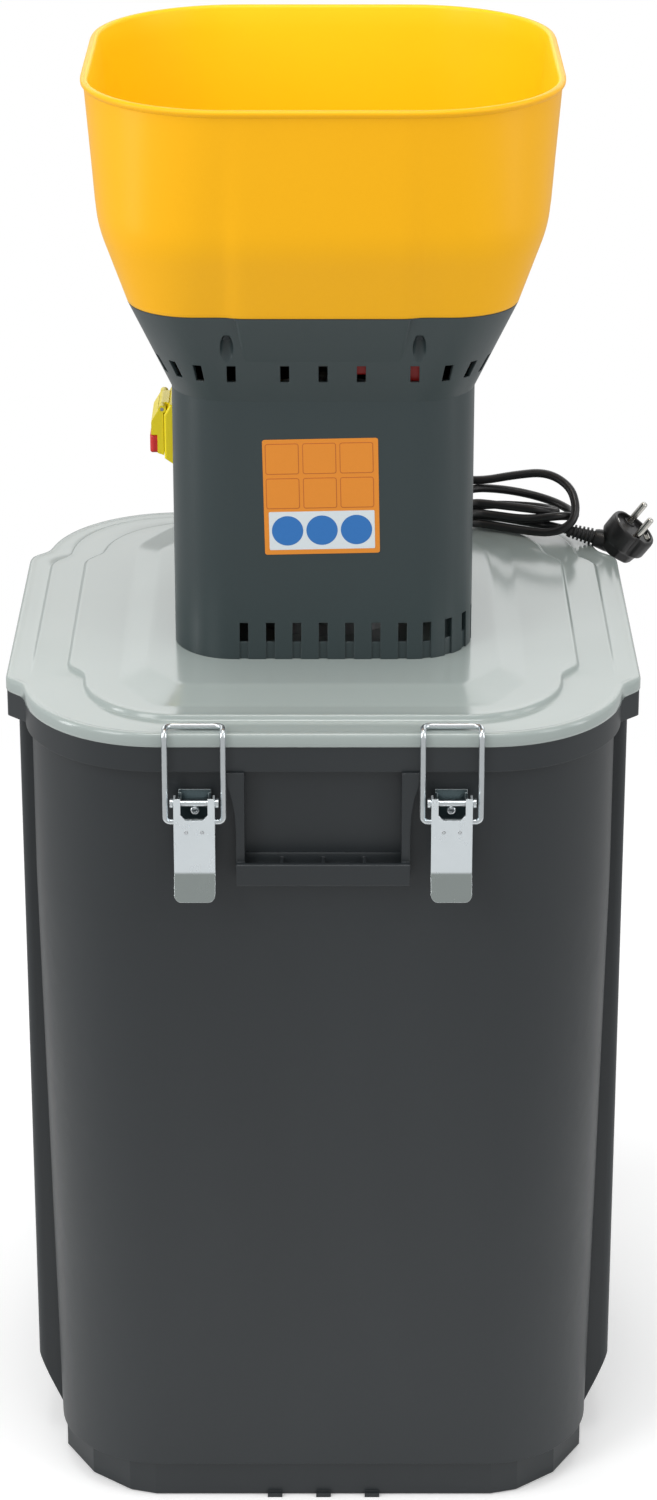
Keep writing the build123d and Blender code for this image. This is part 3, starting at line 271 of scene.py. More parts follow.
# The inside colour is painted light on the hopper's inner walls.
hopper_plastic = moulded(
    "hopper_plastic", colour(255, 184, 2), 0.38, grain=0.00002, streak=0.02, shine=0.28,
    inside_painted_light=colour(255, 208, 24))
switch_plastic = moulded(
    "switch_plastic", colour(255, 228, 18), 0.30, streak=0.03, edge=SMALL_EDGE)
red_plastic = moulded("red_plastic", colour(205, 38, 34), 0.32, streak=0.03, edge=SMALL_EDGE)
green_plastic = moulded("green_plastic", colour(30, 140, 60), 0.32, streak=0.03, edge=SMALL_EDGE)
black_plastic = moulded("black_plastic", colour(30, 30, 31), 0.36, streak=0.05, edge=SMALL_EDGE)
black_rubber = moulded("black_rubber", colour(28, 28, 29), 0.5, streak=0.06, edge=SMALL_EDGE)
cord_sheath = moulded("cord_sheath", colour(30, 30, 31), 0.34, streak=0.05, edge=0.0003)
carbon = moulded("carbon", colour(34, 34, 36), 0.6, streak=0.08, edge=0.0003)
latch_steel = plated(
    "latch_steel", colour(214, 220, 223), 0.22, UPRIGHT, stain=0.05, metal=0.9, rub=0.06)
# Painted shade on the lower part below 0.4835 m, and a painted highlight on the edges.
lever_steel = plated(
    "lever_steel", colour(238, 246, 250), 0.26, UPRIGHT, stain=0.03, metal=0.7, rub=0.06,
    rim=colour(240, 246, 248), foot=(0.4835, colour(150, 158, 156)))
# Painted highlight on the edges.
base_steel = plated(
    "base_steel", colour(96, 112, 116), 0.2, UPRIGHT, edge=0.001, stain=0.08, metal=0.9, rub=0.06,
    rim=colour(236, 244, 246))
# Painted shade: the hopper screws sit in bores, and their dark colour stands in for the shade
# there.
screw_steel_painted_shade = plated("screw_steel_painted_shade", colour(58, 62, 64), 0.5)
machined_steel = plated("machined_steel", colour(178, 180, 182), 0.34, (1.0, 1.0, 6.0))
core_steel = plated("core_steel", colour(92, 94, 97), 0.5, (0.3, 0.3, 30.0))
cast_aluminium = plated("cast_aluminium", colour(190, 191, 193), 0.5)
plated_brass = plated("plated_brass", colour(205, 165, 85), 0.3)
copper_wire = plated("copper_wire", colour(190, 98, 52), 0.35, (1.0, 1.0, 14.0))
pin_metal = plated("pin_metal", colour(212, 210, 204), 0.2)

by_slot = {
    "bin_plastic": bin_plastic, "lid_plastic": lid_plastic, "housing_plastic": housing_plastic,
    "hopper_plastic": hopper_plastic, "switch_plastic": switch_plastic, "red_plastic": red_plastic,
    "green_plastic": green_plastic, "black_plastic": black_plastic, "rubber": black_rubber,
    "cord_sheath": cord_sheath, "carbon": carbon, "latch_steel": latch_steel,
    "steel": machined_steel, "core_steel": core_steel, "aluminium": cast_aluminium,
    "brass": plated_brass, "copper": copper_wire, "pin_metal": pin_metal,
}
by_node = {f"latch_lever_{place}": lever_steel for place, _, _ in LATCHES}
by_node.update({"latch_bases": base_steel, "hopper_screws": screw_steel_painted_shade})
for entry in frame["record"]["subparts"]:
    mesh = nodes[entry["node"]].data
    mesh.materials.clear()
    mesh.materials.append(by_node.get(entry["node"], by_slot[entry["material_slot"]]))


# ---------------------------------------------------------------- making pieces
def settle(name, bm, material, body="mill", stands_for=(), smooth=40.0):
    """Turns a bmesh into a finished piece that rides on a body."""
    mesh = bpy.data.meshes.new(name)
    bm.to_mesh(mesh)
    bm.free()
    mesh.materials.append(material)
    piece = bpy.data.objects.new(name, mesh)
    scene.collection.objects.link(piece)
    if smooth:
        mesh.polygons.foreach_set("use_smooth", [True] * len(mesh.polygons))
        mesh.set_sharp_from_angle(angle=radians(smooth))
    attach(piece, body)
    if stands_for:
        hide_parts(*stands_for)
    return piece


def blend(first, last, share):
    """Values part of the way from one row of values to another."""
    return tuple(a + (b - a) * share for a, b in zip(first, last))


def smooth_step(value):
    value = min(max(value, 0.0), 1.0)
    return value * value * (3.0 - 2.0 * value)


# ---------------------------------------------------------------- skins made ring by ring
SIDE_STEPS = 40
CORNER_STEPS = 24


def rounded_square(half_x, half_y, corner, z, centre_y=0.0):
    """Points once round a rounded rectangle, anticlockwise, in millimetres."""
    points = []
    for quarter in range(4):
        turn = quarter * pi / 2
        out = Vector((cos(turn), sin(turn)))
        along = Vector((-sin(turn), cos(turn)))
        half, length = (half_x, half_y) if quarter % 2 == 0 else (half_y, half_x)
        flat = length - corner
        for step in range(SIDE_STEPS):
            points.append(out * half + along * (flat * (2.0 * step / SIDE_STEPS - 1.0)))
        middle = out * (half - corner) + along * flat
        for step in range(CORNER_STEPS):
            angle = turn + pi / 2 * step / CORNER_STEPS
            points.append(middle + Vector((cos(angle), sin(angle))) * corner)
    return [Vector((point.x, point.y + centre_y, z)) for point in points]


def skin(bm, outlines, closed=True):
    """Extrudes one ring for every outline, then moves each ring on to its own outline."""
    count = len(outlines[0])
    ring = bmesh.ops.create_circle(bm, segments=count, radius=1.0)["verts"]
    first_edges = list({edge for vert in ring for edge in vert.link_edges})
    edges = first_edges
    rings = [ring]
    for _ in outlines[1:]:
        made = bmesh.ops.extrude_edge_only(bm, edges=edges)["geom"]
        ring = [part for part in made if isinstance(part, bmesh.types.BMVert)]
        members = set(ring)
        edges = [part for part in made
                 if isinstance(part, bmesh.types.BMEdge) and members.issuperset(part.verts)]
        rings.append(ring)
    for ring, outline in zip(rings, outlines):
        for vert in ring:
            index = round(atan2(vert.co.y, vert.co.x) / (2 * pi) * count) % count
            vert.co = outline[index] * MM
    if closed:
        bmesh.ops.bridge_loops(bm, edges=first_edges + edges)
    bmesh.ops.recalc_face_normals(bm, faces=bm.faces)
    return first_edges, edges


# ---------------------------------------------------------------- hopper
HOPPER_FOOT = 819.0
KNEE = 867.0
RIM = 956.0
KNEE_SOFTNESS = 11.0
HOPPER_WALL = 3.0
PANEL_FULL = 50.0
PANEL_NONE = 62.0

# Levels of the outer and the inner skin, and (height, inset) round the rolled lip between them.
OUTER_LEVELS = [
    HOPPER_FOOT, 819.6, 822, 830, 840, 850, 854, 857, 860, 863, 866, 869, 872, 875, 879, 886, 900,
    915, 930, 945]
LIP = [
    (951.2, 0.0), (951.7, -0.5), (952.4, -1.2), (953.3, -1.7), (954.2, -1.8), (955.0, -1.5),
    (955.6, -0.9), (956.0, -0.1), (956.0, 1.2), (955.7, 2.1), (955.0, 2.7), (953.8, HOPPER_WALL)]
INNER_LEVELS = [940, 920, 900, 885, 879, 875, 872, 869, 866, 863, 860, 857, 850, 840, 833]
FOOT_INSET = 0.4

# Outlines of the funnel as half width, half depth, corner, height and middle.
FUNNEL_HEAD = (101.5, 101.2, 30.0, 818.0, 0.8)
FUNNEL_THROAT = (15.0, 11.0, 2.5, 760.0, 72.0)
UNDERSIDE_THROAT = (18.0, 14.0, 4.0, 760.0, 72.0)
UNDERSIDE_HEAD = (103.0, 103.0, 30.0, 813.0, 0.0)


def up_the_hopper(z, foot, knee, rim):
    """A measure with one slope below the knee, another above it and a soft bend between."""
    lower = (knee - foot) / (KNEE - HOPPER_FOOT)
    upper = (rim - knee) / (RIM - KNEE)
    rise = z - KNEE
    value = knee + (lower if rise < 0 else upper) * rise
    if abs(rise) < KNEE_SOFTNESS:
        value += (upper - lower) * (KNEE_SOFTNESS - abs(rise)) ** 2 / (4.0 * KNEE_SOFTNESS)
    return value


def hopper_section(z, inset=0.0):
    """The hopper's outline at a height, with a slightly proud panel on every outer wall."""
    half = up_the_hopper(z, 123.0, 141.0, 149.2) - inset
    corner = up_the_hopper(z, 43.0, 68.0, 92.0) - inset
    proud = up_the_hopper(z, 3.0, 2.4, 0.4)
    points = rounded_square(half, half, corner, z)
    if inset < 0.5:
        for point in points:
            along, out = (0, 1) if abs(point.y) > abs(point.x) else (1, 0)
            share = smooth_step((PANEL_NONE - abs(point[along])) / (PANEL_NONE - PANEL_FULL))
            point[out] += proud * share * (1.0 if point[out] > 0 else -1.0)
    return points


outlines = [hopper_section(z, FOOT_INSET if z == HOPPER_FOOT else 0.0) for z in OUTER_LEVELS]
outlines += [hopper_section(z, inset) for z, inset in LIP]
outlines += [hopper_section(z, HOPPER_WALL) for z in INNER_LEVELS]
outlines += [rounded_square(half, half, corner, z) for half, corner, z in (
    (124.4, 45, 830), (122.6, 44, 828), (119.5, 42, 826.4), (107, 33, 821.2), (104, 31, 819.9))]
for share in (0.0, 0.2, 0.4, 0.6, 0.8, 1.0):
    outlines.append(rounded_square(*blend(FUNNEL_HEAD, FUNNEL_THROAT, share)))
for share in (0.0, 0.25, 0.5, 0.75, 1.0):
    outlines.append(rounded_square(*blend(UNDERSIDE_THROAT, UNDERSIDE_HEAD, share)))
outlines += [rounded_square(117.0, 117.0, 40, 813), rounded_square(119.5, 119.5, 40, 819)]
hopper_bm = bmesh.new()
skin(hopper_bm, outlines)
settle("feed_hopper", hopper_bm, hopper_plastic, stands_for=["hopper"],
       smooth=38.0)


# ---------------------------------------------------------------- lid
LID_STEPS = 480
LID_FOOT = 565.0
LID_EDGE = 573.8
LID_SIDE = 575.4
LID_STEP = 577.0
LID_PLATEAU = 581.0
LID_RISE = LID_PLATEAU - LID_STEP
LID_INSIDE = 571.0
LID_UNDERSIDE = 578.0
REGISTER_FOOT = 553.0

# The lid's first step rises over this depth, from its start near the front towards the rear.
FADE_START = -118.0
FADE_DEPTH = 85.0

# (inset, height or share) from the foot of each form to its head.
EDGE_ROLL = [
    (3.0, LID_FOOT), (0.5, LID_FOOT), (0.0, 565.5), (0.0, 568.0), (0.0, 571.6), (0.3, 572.7),
    (1.0, 573.6), (2.0, 574.0), (3.4, 574.0), (4.6, 573.85), (5.6, 573.7), (6.8, 573.7),
    (8.5, 573.75), (10.5, LID_EDGE)]
FIRST_STEP = [
    (-1.6, 0.0), (-0.8, 0.15), (-0.2, 0.6), (0.4, 1.0), (1.0, 1.12), (1.8, 1.08), (3.0, 1.0),
    (5.5, 1.0)]
SECOND_STEP = [
    (-2.2, 0.0), (-1.3, 0.06), (-0.5, 0.45), (0.2, 0.9), (1.0, 1.06), (2.0, 1.06), (3.4, 1.0),
    (7, 1.0)]
SLOPE_FOOT = [(-5, 0.0), (-3, 0.02), (-1, 0.1)]
SLOPE_HEAD = [(0, 0.9), (2, 0.97), (5, 1.0)]
SLOPE_PARTS = 8


def reach(corners, angle):
    """How far a closed outline lies from the middle along a direction."""
    ahead = Vector((cos(angle), sin(angle)))
    best = 0.0
    for first, second in zip(corners, corners[1:] + corners[:1]):
        side = second - first
        turn = ahead.x * side.y - ahead.y * side.x
        if abs(turn) > 1e-9:
            share = (first.x * ahead.y - first.y * ahead.x) / turn
            distance = (first.x * side.y - first.y * side.x) / turn
            if -1e-9 <= share <= 1.0 + 1e-9:
                best = max(best, distance)
    return best


def mirrored(first, second):
    """An eight-cornered outline from the two corners of one quarter."""
    (x1, y1), (x2, y2) = first, second
    right = [(x1, -y1), (x1, y1), (x2, y2)]
    left = [(-x2, y2), (-x1, y1), (-x1, -y1), (-x2, -y2)]
    return [Vector(corner) for corner in right + left + [(x2, -y2)]]


def reaches(shapes, passes):
    """The reach of the widest shape in every direction, softened by so many passes."""
    flat = [[Vector((point.x, point.y)) for point in shape] for shape in shapes]
    turns = [2 * pi * step / LID_STEPS for step in range(LID_STEPS)]
    radii = [max(reach(shape, turn) for shape in flat) for turn in turns]
    for _ in range(passes):
        after = radii[1:] + radii[:1]
        radii = [(radii[step - 1] + 2 * radii[step] + after[step]) / 4 for step in range(LID_STEPS)]
    return radii


def polar(radii, inset, height):
    """One ring of the lid; the height is a number or a function of (x, y)."""
    points = []
    for step, radius in enumerate(radii):
        angle = 2 * pi * step / LID_STEPS
        x = (radius - inset) * cos(angle)
        y = (radius - inset) * sin(angle)
        points.append(Vector((x, y, height(x, y) if callable(height) else height)))
    return points


def first_level(share):
    """A height up the first step, which fades out towards the front."""
    return lambda x, y: LID_EDGE + (LID_SIDE - LID_EDGE) * share * smooth_step(
        (y - FADE_START) / FADE_DEPTH)


def second_level(share):
    """A height up the second step, which stands on the first."""
    lower = first_level(1.0)
    return lambda x, y: lower(x, y) + (LID_STEP - lower(x, y)) * share


edge_line = reaches(
    [rounded_square(193, 204, 90, 0), mirrored((205, 112), (190, 126))], 3)
step_line = reaches(
    [rounded_square(153, 177, 62, 0, -4), mirrored((165, 97), (147, 120))], 4)
side_shape = [Vector(corner) for corner in (
    (188.5, -113), (188.5, 96), (170, 119), (-170, 119), (-188.5, 96), (-188.5, -113))]
side_line = reaches([rounded_square(176, 150, 74, 0, 40), side_shape], 4)
side_line = [max(side, step + 9.0) for side, step in zip(side_line, step_line)]
rise_foot = reaches([mirrored((128, 122), (104, 163))], 10)
rise_head = reaches([mirrored((115, 110), (93, 140))], 10)
ring_outside = reaches([rounded_square(184.5, 190.5, 78.5, 0)], 0)
ring_inside = reaches([rounded_square(182, 188, 76, 0)], 0)
bore_line = [17.0] * LID_STEPS
middle_line = [70.0] * LID_STEPS

lid_rings = [polar(edge_line, inset, z) for inset, z in EDGE_ROLL]
lid_rings += [polar(side_line, inset, first_level(share)) for inset, share in FIRST_STEP]
lid_rings += [polar(step_line, inset, second_level(share)) for inset, share in SECOND_STEP]
lid_rings += [polar(rise_foot, inset, LID_STEP + LID_RISE * share) for inset, share in SLOPE_FOOT]
for part in range(1, SLOPE_PARTS):
    share = part / SLOPE_PARTS
    lid_rings.append(polar(
        blend(rise_foot, rise_head, share), 0.0, LID_STEP + LID_RISE * (0.12 + 0.76 * share)))
lid_rings += [polar(rise_head, inset, LID_STEP + LID_RISE * share) for inset, share in SLOPE_HEAD]
lid_rings += [
    polar(middle_line, 0, LID_PLATEAU), polar(bore_line, 0, LID_PLATEAU),
    polar(bore_line, 0, LID_UNDERSIDE), polar(middle_line, 0, LID_UNDERSIDE),
    polar(rise_head, 3, LID_UNDERSIDE), polar(rise_foot, 3, 574.0),
    polar(step_line, 3, 573.6), polar(step_line, 2, LID_INSIDE),
    polar(ring_inside, 0, LID_INSIDE), polar(ring_inside, 0, REGISTER_FOOT),
    polar(ring_outside, 0, REGISTER_FOOT), polar(ring_outside, 0, LID_INSIDE),
    polar(edge_line, 3.0, LID_INSIDE),
]
lid_bm = bmesh.new()
skin(lid_bm, lid_rings)
settle("bin_lid", lid_bm, lid_plastic, stands_for=["lid"], smooth=50.0)


# ---------------------------------------------------------------- latch details
# Profiles as (radius, height) up the axis.
SCREW_HEAD = [
    (1.9, -6.0), (1.9, 0.0), (2.9, 0.0), (2.95, 0.5), (2.75, 1.0), (2.3, 1.45), (1.7, 1.72),
    (1.15, 1.8), (0.95, 1.6), (0.9, 0.9)]
DIMPLE = [(1.25, -0.2), (1.2, 0.05), (1.0, 0.22), (0.8, 0.22), (0.6, 0.05), (0.5, -0.1)]
SCREW_REACH, SCREW_Z = 195.4, 518.8
DIMPLE_REACH, DIMPLE_Z = 213.7, 511.5
DIMPLE_OFFSETS = (-5.0, 5.0)


def circles(profile, count):
    """Rings of (radius, height) round the Z axis."""
    turns = [2 * pi * step / count for step in range(count)]
    return [[Vector((radius * cos(turn), radius * sin(turn), height)) for turn in turns]
            for radius, height in profile]


def turned(bm, profile, place, count=40):
    """A solid of revolution between two small end faces, moved to its place."""
    before = set(bm.verts)
    first, last = skin(bm, circles(profile, count), closed=False)
    bmesh.ops.edgeloop_fill(bm, edges=first)
    bmesh.ops.edgeloop_fill(bm, edges=last)
    fresh = [vert for vert in bm.verts if vert not in before]
    faces = list({face for vert in fresh for face in vert.link_faces})
    bmesh.ops.recalc_face_normals(bm, faces=faces)
    bmesh.ops.transform(bm, matrix=place, verts=fresh)


def facing(x, side, reach_out, z):
    """Places something turned about +Z so that it points out of the front or rear wall."""
    outward = Matrix.Rotation(pi / 2 if side < 0 else -pi / 2, 4, "X")
    return Matrix.Translation(Vector((x, side * reach_out, z)) * MM) @ outward


screw_bm = bmesh.new()
for place, x, side in LATCHES:
    turned(screw_bm, SCREW_HEAD, facing(x, side, SCREW_REACH, SCREW_Z))
    dimple_bm = bmesh.new()
    for offset in DIMPLE_OFFSETS:
        turned(dimple_bm, DIMPLE, facing(x + offset, side, DIMPLE_REACH, DIMPLE_Z), 24)
    settle(f"lever_dimples_{place}", dimple_bm, machined_steel, body=f"lever_{place}", smooth=30.0)
settle("latch_dome_screws", screw_bm, latch_steel, stands_for=["latch_screws"],
       smooth=30.0)


# ---------------------------------------------------------------- ribs in the trough of each grip
RIB_HALF_WIDTH = 49.6
WEB_PLACES = (-26.0, 0.0, 26.0)
WEB_HALF_WIDTH = 0.9


def soften(bm, edges, offset, segments):
    bmesh.ops.bevel(bm, geom=edges, offset=offset * MM, segments=segments, profile=0.5,
                    affect="EDGES", material=-1)


def block(bm, low, high, offset):
    """A box between two corners with softened edges, in millimetres."""
    low = Vector(low) * MM
    high = Vector(high) * MM
    size = Matrix.Diagonal((*(high - low), 1.0))
    middle = Matrix.Translation((low + high) / 2)
    made = bmesh.ops.create_cube(bm, size=1.0, matrix=middle @ size)
    edges = list({edge for vert in made["verts"] for edge in vert.link_edges})
    soften(bm, edges, offset, 2)


for place, side in (("front", -1), ("rear", 1)):
    rib_bm = bmesh.new()
    near, far = sorted((side * 193.6, side * 196.0))
    block(rib_bm, (-RIB_HALF_WIDTH, near, 478.0), (RIB_HALF_WIDTH, far, 489.4), 0.4)
    near, far = sorted((side * 195.6, side * 207.0))
    for x in WEB_PLACES:
        block(rib_bm, (x - WEB_HALF_WIDTH, near, 476.0), (x + WEB_HALF_WIDTH, far, 486.4), 0.3)
    settle(f"grip_ribs_{place}", rib_bm, bin_plastic, smooth=30.0)


# ---------------------------------------------------------------- label on the tower
LABEL_TILT = radians(-1.2)
LABEL_X = -1.2
LABEL_Z = 692.7
SHEET_Y = -97.1
PRINT_Y = -97.25
TOP_Y = -97.3
SHEET_THICKNESS = 0.25
PRINT_THICKNESS = 0.06
STRIP_Z = 670.0
CELL_COLUMNS = (-25.6, -1.9, 21.7)
CELL_ROWS = (718.4, 695.2)
SPOT_COLUMNS = (-23.2, -1.2, 20.8)
SPOT_RADIUS = 10.0


def plate(bm, size, thickness, middle, corner):
    """A thin upright plate facing the front, its four corners rounded, in millimetres."""
    width, height = size
    shape = Matrix.Diagonal((width * MM, thickness * MM, height * MM, 1.0))
    place = Matrix.Translation(Vector(middle) * MM)
    made = bmesh.ops.create_cube(bm, size=1.0, matrix=place @ shape)
    edges = {edge for vert in made["verts"] for edge in vert.link_edges}
    depth = thickness * MM * 0.9
    through = [edge for edge in edges if abs(edge.verts[0].co.y - edge.verts[1].co.y) > depth]
    soften(bm, through, corner, 4)


def label_piece(name, bm, material):
    """A finished piece of the label, tilted with the rest of it."""
    middle = Vector((LABEL_X, 0.0, LABEL_Z)) * MM
    tilt = Matrix.Rotation(LABEL_TILT, 4, "Y")
    turn = Matrix.Translation(middle) @ tilt @ Matrix.Translation(-middle)
    bmesh.ops.transform(bm, matrix=turn, verts=bm.verts)
    settle(name, bm, material, smooth=0.0)


label_orange = moulded("label_orange", colour(232, 142, 40), 0.4, streak=0.02, edge=0.0002)
label_line = moulded("label_line", colour(196, 104, 34), 0.4, streak=0.02, edge=0.0002)
label_white = moulded("label_white", colour(222, 230, 234), 0.36, streak=0.02, edge=0.0002)
label_blue = moulded("label_blue", colour(44, 116, 190), 0.36, streak=0.03, edge=0.0002)

label_bm = bmesh.new()
plate(label_bm, (73.5, 77.5), SHEET_THICKNESS, (LABEL_X, SHEET_Y, LABEL_Z), 1.6)
label_piece("label_sheet", label_bm, label_orange)
border_bm = bmesh.new()
cell_bm = bmesh.new()
for column in CELL_COLUMNS:
    for row in CELL_ROWS:
        plate(border_bm, (21.4, 20.6), PRINT_THICKNESS, (column, PRINT_Y, row), 1.6)
        plate(cell_bm, (20.4, 19.6), PRINT_THICKNESS, (column, TOP_Y, row), 1.2)
label_piece("label_cell_lines", border_bm, label_line)
label_piece("label_cells", cell_bm, label_orange)
strip_bm = bmesh.new()
plate(strip_bm, (67.4, 25.8), PRINT_THICKNESS, (LABEL_X, PRINT_Y, STRIP_Z), 0.8)
label_piece("label_strip", strip_bm, label_white)
spot_bm = bmesh.new()
for column in SPOT_COLUMNS:
    middle = Matrix.Translation(Vector((column, TOP_Y, STRIP_Z)) * MM)
    spot = middle @ Matrix.Rotation(pi / 2, 4, "X")
    bmesh.ops.create_cone(
        spot_bm, cap_ends=True, segments=64, radius1=SPOT_RADIUS * MM, radius2=SPOT_RADIUS * MM,
        depth=PRINT_THICKNESS * MM, matrix=spot)
label_piece("label_spots", spot_bm, label_blue)


# ---------------------------------------------------------------- mains lead
CORD_DIAMETER = 0.006
HANK_MIDDLE = 132.0
LEFT_LOBE = -50.0
LOW_LAYER = 584.8
HIGH_LAYER = 591.3
FOLD_POINTS = 6
FOLD_SPREAD = 102.0
WAIST_IN = 52.0
WAIST_OUT = 24.0
CORD_STEPS = 8
CORD_ROUNDNESS = 5

# The free runs of the lead: from the gland to the hank, round its right end, and on to the plug.
FROM_GLAND = [
    (30, 131, 640), (32, 165, 634), (55, 186, 620), (84, 187, 606.5), (110, 181, 605),
    (136, 172.5, 613), (158, 163, 618.5), (174, 150, 612.5), (178, 138, 601), (175, 131, 592),
    (166, 130.8, 586), (156, 136, 582.5), (142, 144, 581.3), (124, 153.5, 581), (104, 159, 582.5),
    (80, 143.5, 584)]
INNER_END = [
    (80, 154, 587.5), (104, 170.5, 590), (124, 174.5, 590), (141, 172.5, 589.8),
    (153.5, 169, 590), (162.5, 162, 590.6), (165.3, 154, 592), (160.5, 147.4, 594),
    (151, 147.2, 595.7), (139, 151.5, 595.8), (122, 159, 595.3), (104, 165.5, 595), (80, 147, 593)]
OUTER_END = [
    (80, 162, 596.5), (104, 179, 601), (126, 182.5, 599), (147, 180, 596), (165.5, 171.5, 592.8),
    (177.5, 157.5, 590), (178, 143.5, 592), (168, 137.8, 594.6), (155, 140.5, 592.2),
    (141, 148, 588.6), (124, 156, 588.1), (104, 160, 589.6), (78, 136, 589.4)]
TO_PLUG = [
    (72, 157.5, 583.4), (88, 168, 582.6), (108, 172.5, 582.2), (126, 169.5, 582),
    (142, 160, 582.3), (151, 149.5, 584.6), (160, 139.6, 586.6), (172, 138, 584)]


def waist(offset, height, leftward):
    """Two points where a run passes through the tie."""
    ends = (WAIST_IN, WAIST_OUT) if leftward else (WAIST_OUT, WAIST_IN)
    return [(x, HANK_MIDDLE + offset, height) for x in ends]


def left_turn(offset, radius, height):
    """Through the tie, round the left end of the hank and back through the tie."""
    way_in, way_out = waist(-offset, height, True), waist(offset, height, False)
    step = 2 * FOLD_SPREAD / FOLD_POINTS
    distance = radius / cos(radians(step / 2))
    around = []
    for index in range(FOLD_POINTS):
        angle = radians(FOLD_SPREAD - 180.0 - step * (index + 0.5))
        around.append((
            LEFT_LOBE + distance * cos(angle), HANK_MIDDLE + distance * sin(angle), height))
    there = [blend(way_in[-1], around[0], share) for share in (0.45, 0.75)]
    back = [blend(around[-1], way_out[0], share) for share in (0.25, 0.55)]
    return way_in + there + around + back + way_out


def soft_line(name, points, radius):
    """A smooth round cord whose control points are these points, in millimetres."""
    data = bpy.data.curves.new(name, "CURVE")
    data.dimensions = "3D"
    spline = data.splines.new("NURBS")
    spline.points.add(len(points) - 1)
    for target, point in zip(spline.points, points):
        target.co = (point[0] * MM, point[1] * MM, point[2] * MM, 1.0)
    spline.order_u = 3
    spline.use_endpoint_u = True
    spline.resolution_u = CORD_STEPS
    data.bevel_depth = radius
    data.bevel_resolution = CORD_ROUNDNESS
    data.use_fill_caps = True
    line = bpy.data.objects.new(name, data)
    scene.collection.objects.link(line)
    return line


lead_route = FROM_GLAND + left_turn(3.4, 20.3, LOW_LAYER)
lead_route += INNER_END + left_turn(6.6, 23.2, HIGH_LAYER)
lead_route += OUTER_END + left_turn(9.9, 26.4, LOW_LAYER) + TO_PLUG


# ---------------------------------------------------------------- plug
PLUG_CENTRE = Vector((213.5, 133.0, 581.0))
PLUG_FACE = Vector((0.572, -0.139, 0.802)).normalized()
PIN_LINE = Vector((0.165, -0.95, -0.264)).normalized()
PIN_OFFSETS = (-9.5, 9.5)
NECK_START = Vector((172.0, 138.0, 584.0))
NECK_ROOT = PLUG_CENTRE - PLUG_FACE * 8.0
NECK_RIBS = 6
NECK_PITCH = 2.9
GROOVE_HALF = 2.6
GROOVE_SOFTNESS = 0.9

# Sections of the plug as (radius, half width at the flats, height, groove) from back to front.
PLUG_SHAPE = [
    (8.0, 8.0, -15.0, 0.0), (11.0, 10.0, -14.8, 0.0), (12.6, 11.6, -14.0, 0.0),
    (13.4, 12.4, -12.6, 0.0), (14.2, 13.2, -8.0, 0.0), (15.4, 14.6, -6.4, 0.0),
    (16.8, 15.7, -5.2, 0.4), (17.3, 16.1, -4.2, 1.4), (17.4, 16.2, 0.0, 1.5),
    (17.4, 16.2, 6.0, 1.5), (17.1, 15.9, 8.0, 1.5), (16.7, 15.5, 8.7, 1.3),
    (16.2, 15.2, 9.0, 1.0), (15.0, 14.0, 9.0, 0.0), (14.6, 13.6, 8.7, 0.0),
    (14.4, 13.4, 7.6, 0.0), (14.3, 13.3, 6.1, 0.0), (13.8, 12.9, 6.0, 0.0)]
COLLAR = [(2.5, 5.8), (4.3, 5.8), (4.3, 6.9), (4.0, 7.1), (3.0, 7.1), (2.6, 6.8)]
PIN = [(2.4, 6.0), (2.4, 23.4), (2.2, 24.3), (1.7, 24.8), (0.9, 25.0)]

# Each earth clip is two plates, as (distance from the middle, height) and size.
EARTH_PLATES = [((13.6, 6.6), (6.0, 0.8, 3.4)), ((12.4, 6.3), (6.0, 2.8, 0.6))]


def frame_at(origin, ahead, across):
    """A matrix whose Z runs ahead and whose X runs across, at a point in millimetres."""
    z_axis = ahead.normalized()
    x_axis = (across - z_axis * across.dot(z_axis)).normalized()
    y_axis = z_axis.cross(x_axis)
    turn = Matrix((x_axis, y_axis, z_axis)).transposed().to_4x4()
    return Matrix.Translation(origin * MM) @ turn


def plug_section(radius, flat, z, groove, count=96):
    """A circle with two flats across the line of the pins, and a guide groove down each flat."""
    points = []
    for step in range(count):
        angle = 2 * pi * step / count
        x = max(-flat, min(flat, radius * cos(angle)))
        y = radius * sin(angle)
        if groove and abs(y) < GROOVE_HALF and abs(x) > flat - 0.5:
            depth = groove * smooth_step((GROOVE_HALF - abs(y)) / GROOVE_SOFTNESS)
            x -= depth * (1.0 if x > 0 else -1.0)
        points.append(Vector((x, y, z)))
    return points


plug_frame = frame_at(PLUG_CENTRE, PLUG_FACE, PIN_LINE)
pin_frames = [plug_frame @ Matrix.Translation((offset * MM, 0, 0)) for offset in PIN_OFFSETS]
plug_bm = bmesh.new()
first_ring, last_ring = skin(plug_bm, [plug_section(*row) for row in PLUG_SHAPE], closed=False)
bmesh.ops.edgeloop_fill(plug_bm, edges=first_ring)
bmesh.ops.edgeloop_fill(plug_bm, edges=last_ring)
bmesh.ops.transform(plug_bm, matrix=plug_frame, verts=plug_bm.verts)

neck_line = NECK_ROOT - NECK_START
neck_profile = [(3.2, -0.2), (4.3, 0.0), (4.6, 0.6)]
for rib in range(NECK_RIBS):
    start = 1.6 + NECK_PITCH * rib
    wide = 4.9 + 0.22 * rib
    narrow = wide - 1.5
    neck_profile += [
        (wide, start), (wide, start + 1.3), (narrow, start + 1.6), (narrow, start + 2.7)]
neck_profile += [
    (5.8, 19.2), (6.4, 21.0), (7.6, 28.0), (8.0, neck_line.length - 2.0), (7.0, neck_line.length)]
turned(plug_bm, neck_profile, frame_at(NECK_START, neck_line, Vector((0.0, 0.0, 1.0))), 48)
for pin_frame in pin_frames:
    turned(plug_bm, COLLAR, pin_frame, 32)
bmesh.ops.recalc_face_normals(plug_bm, faces=plug_bm.faces)
plug_shell = settle(
    "mains_plug", plug_bm, black_plastic, stands_for=["plug_body"],
    smooth=35.0)

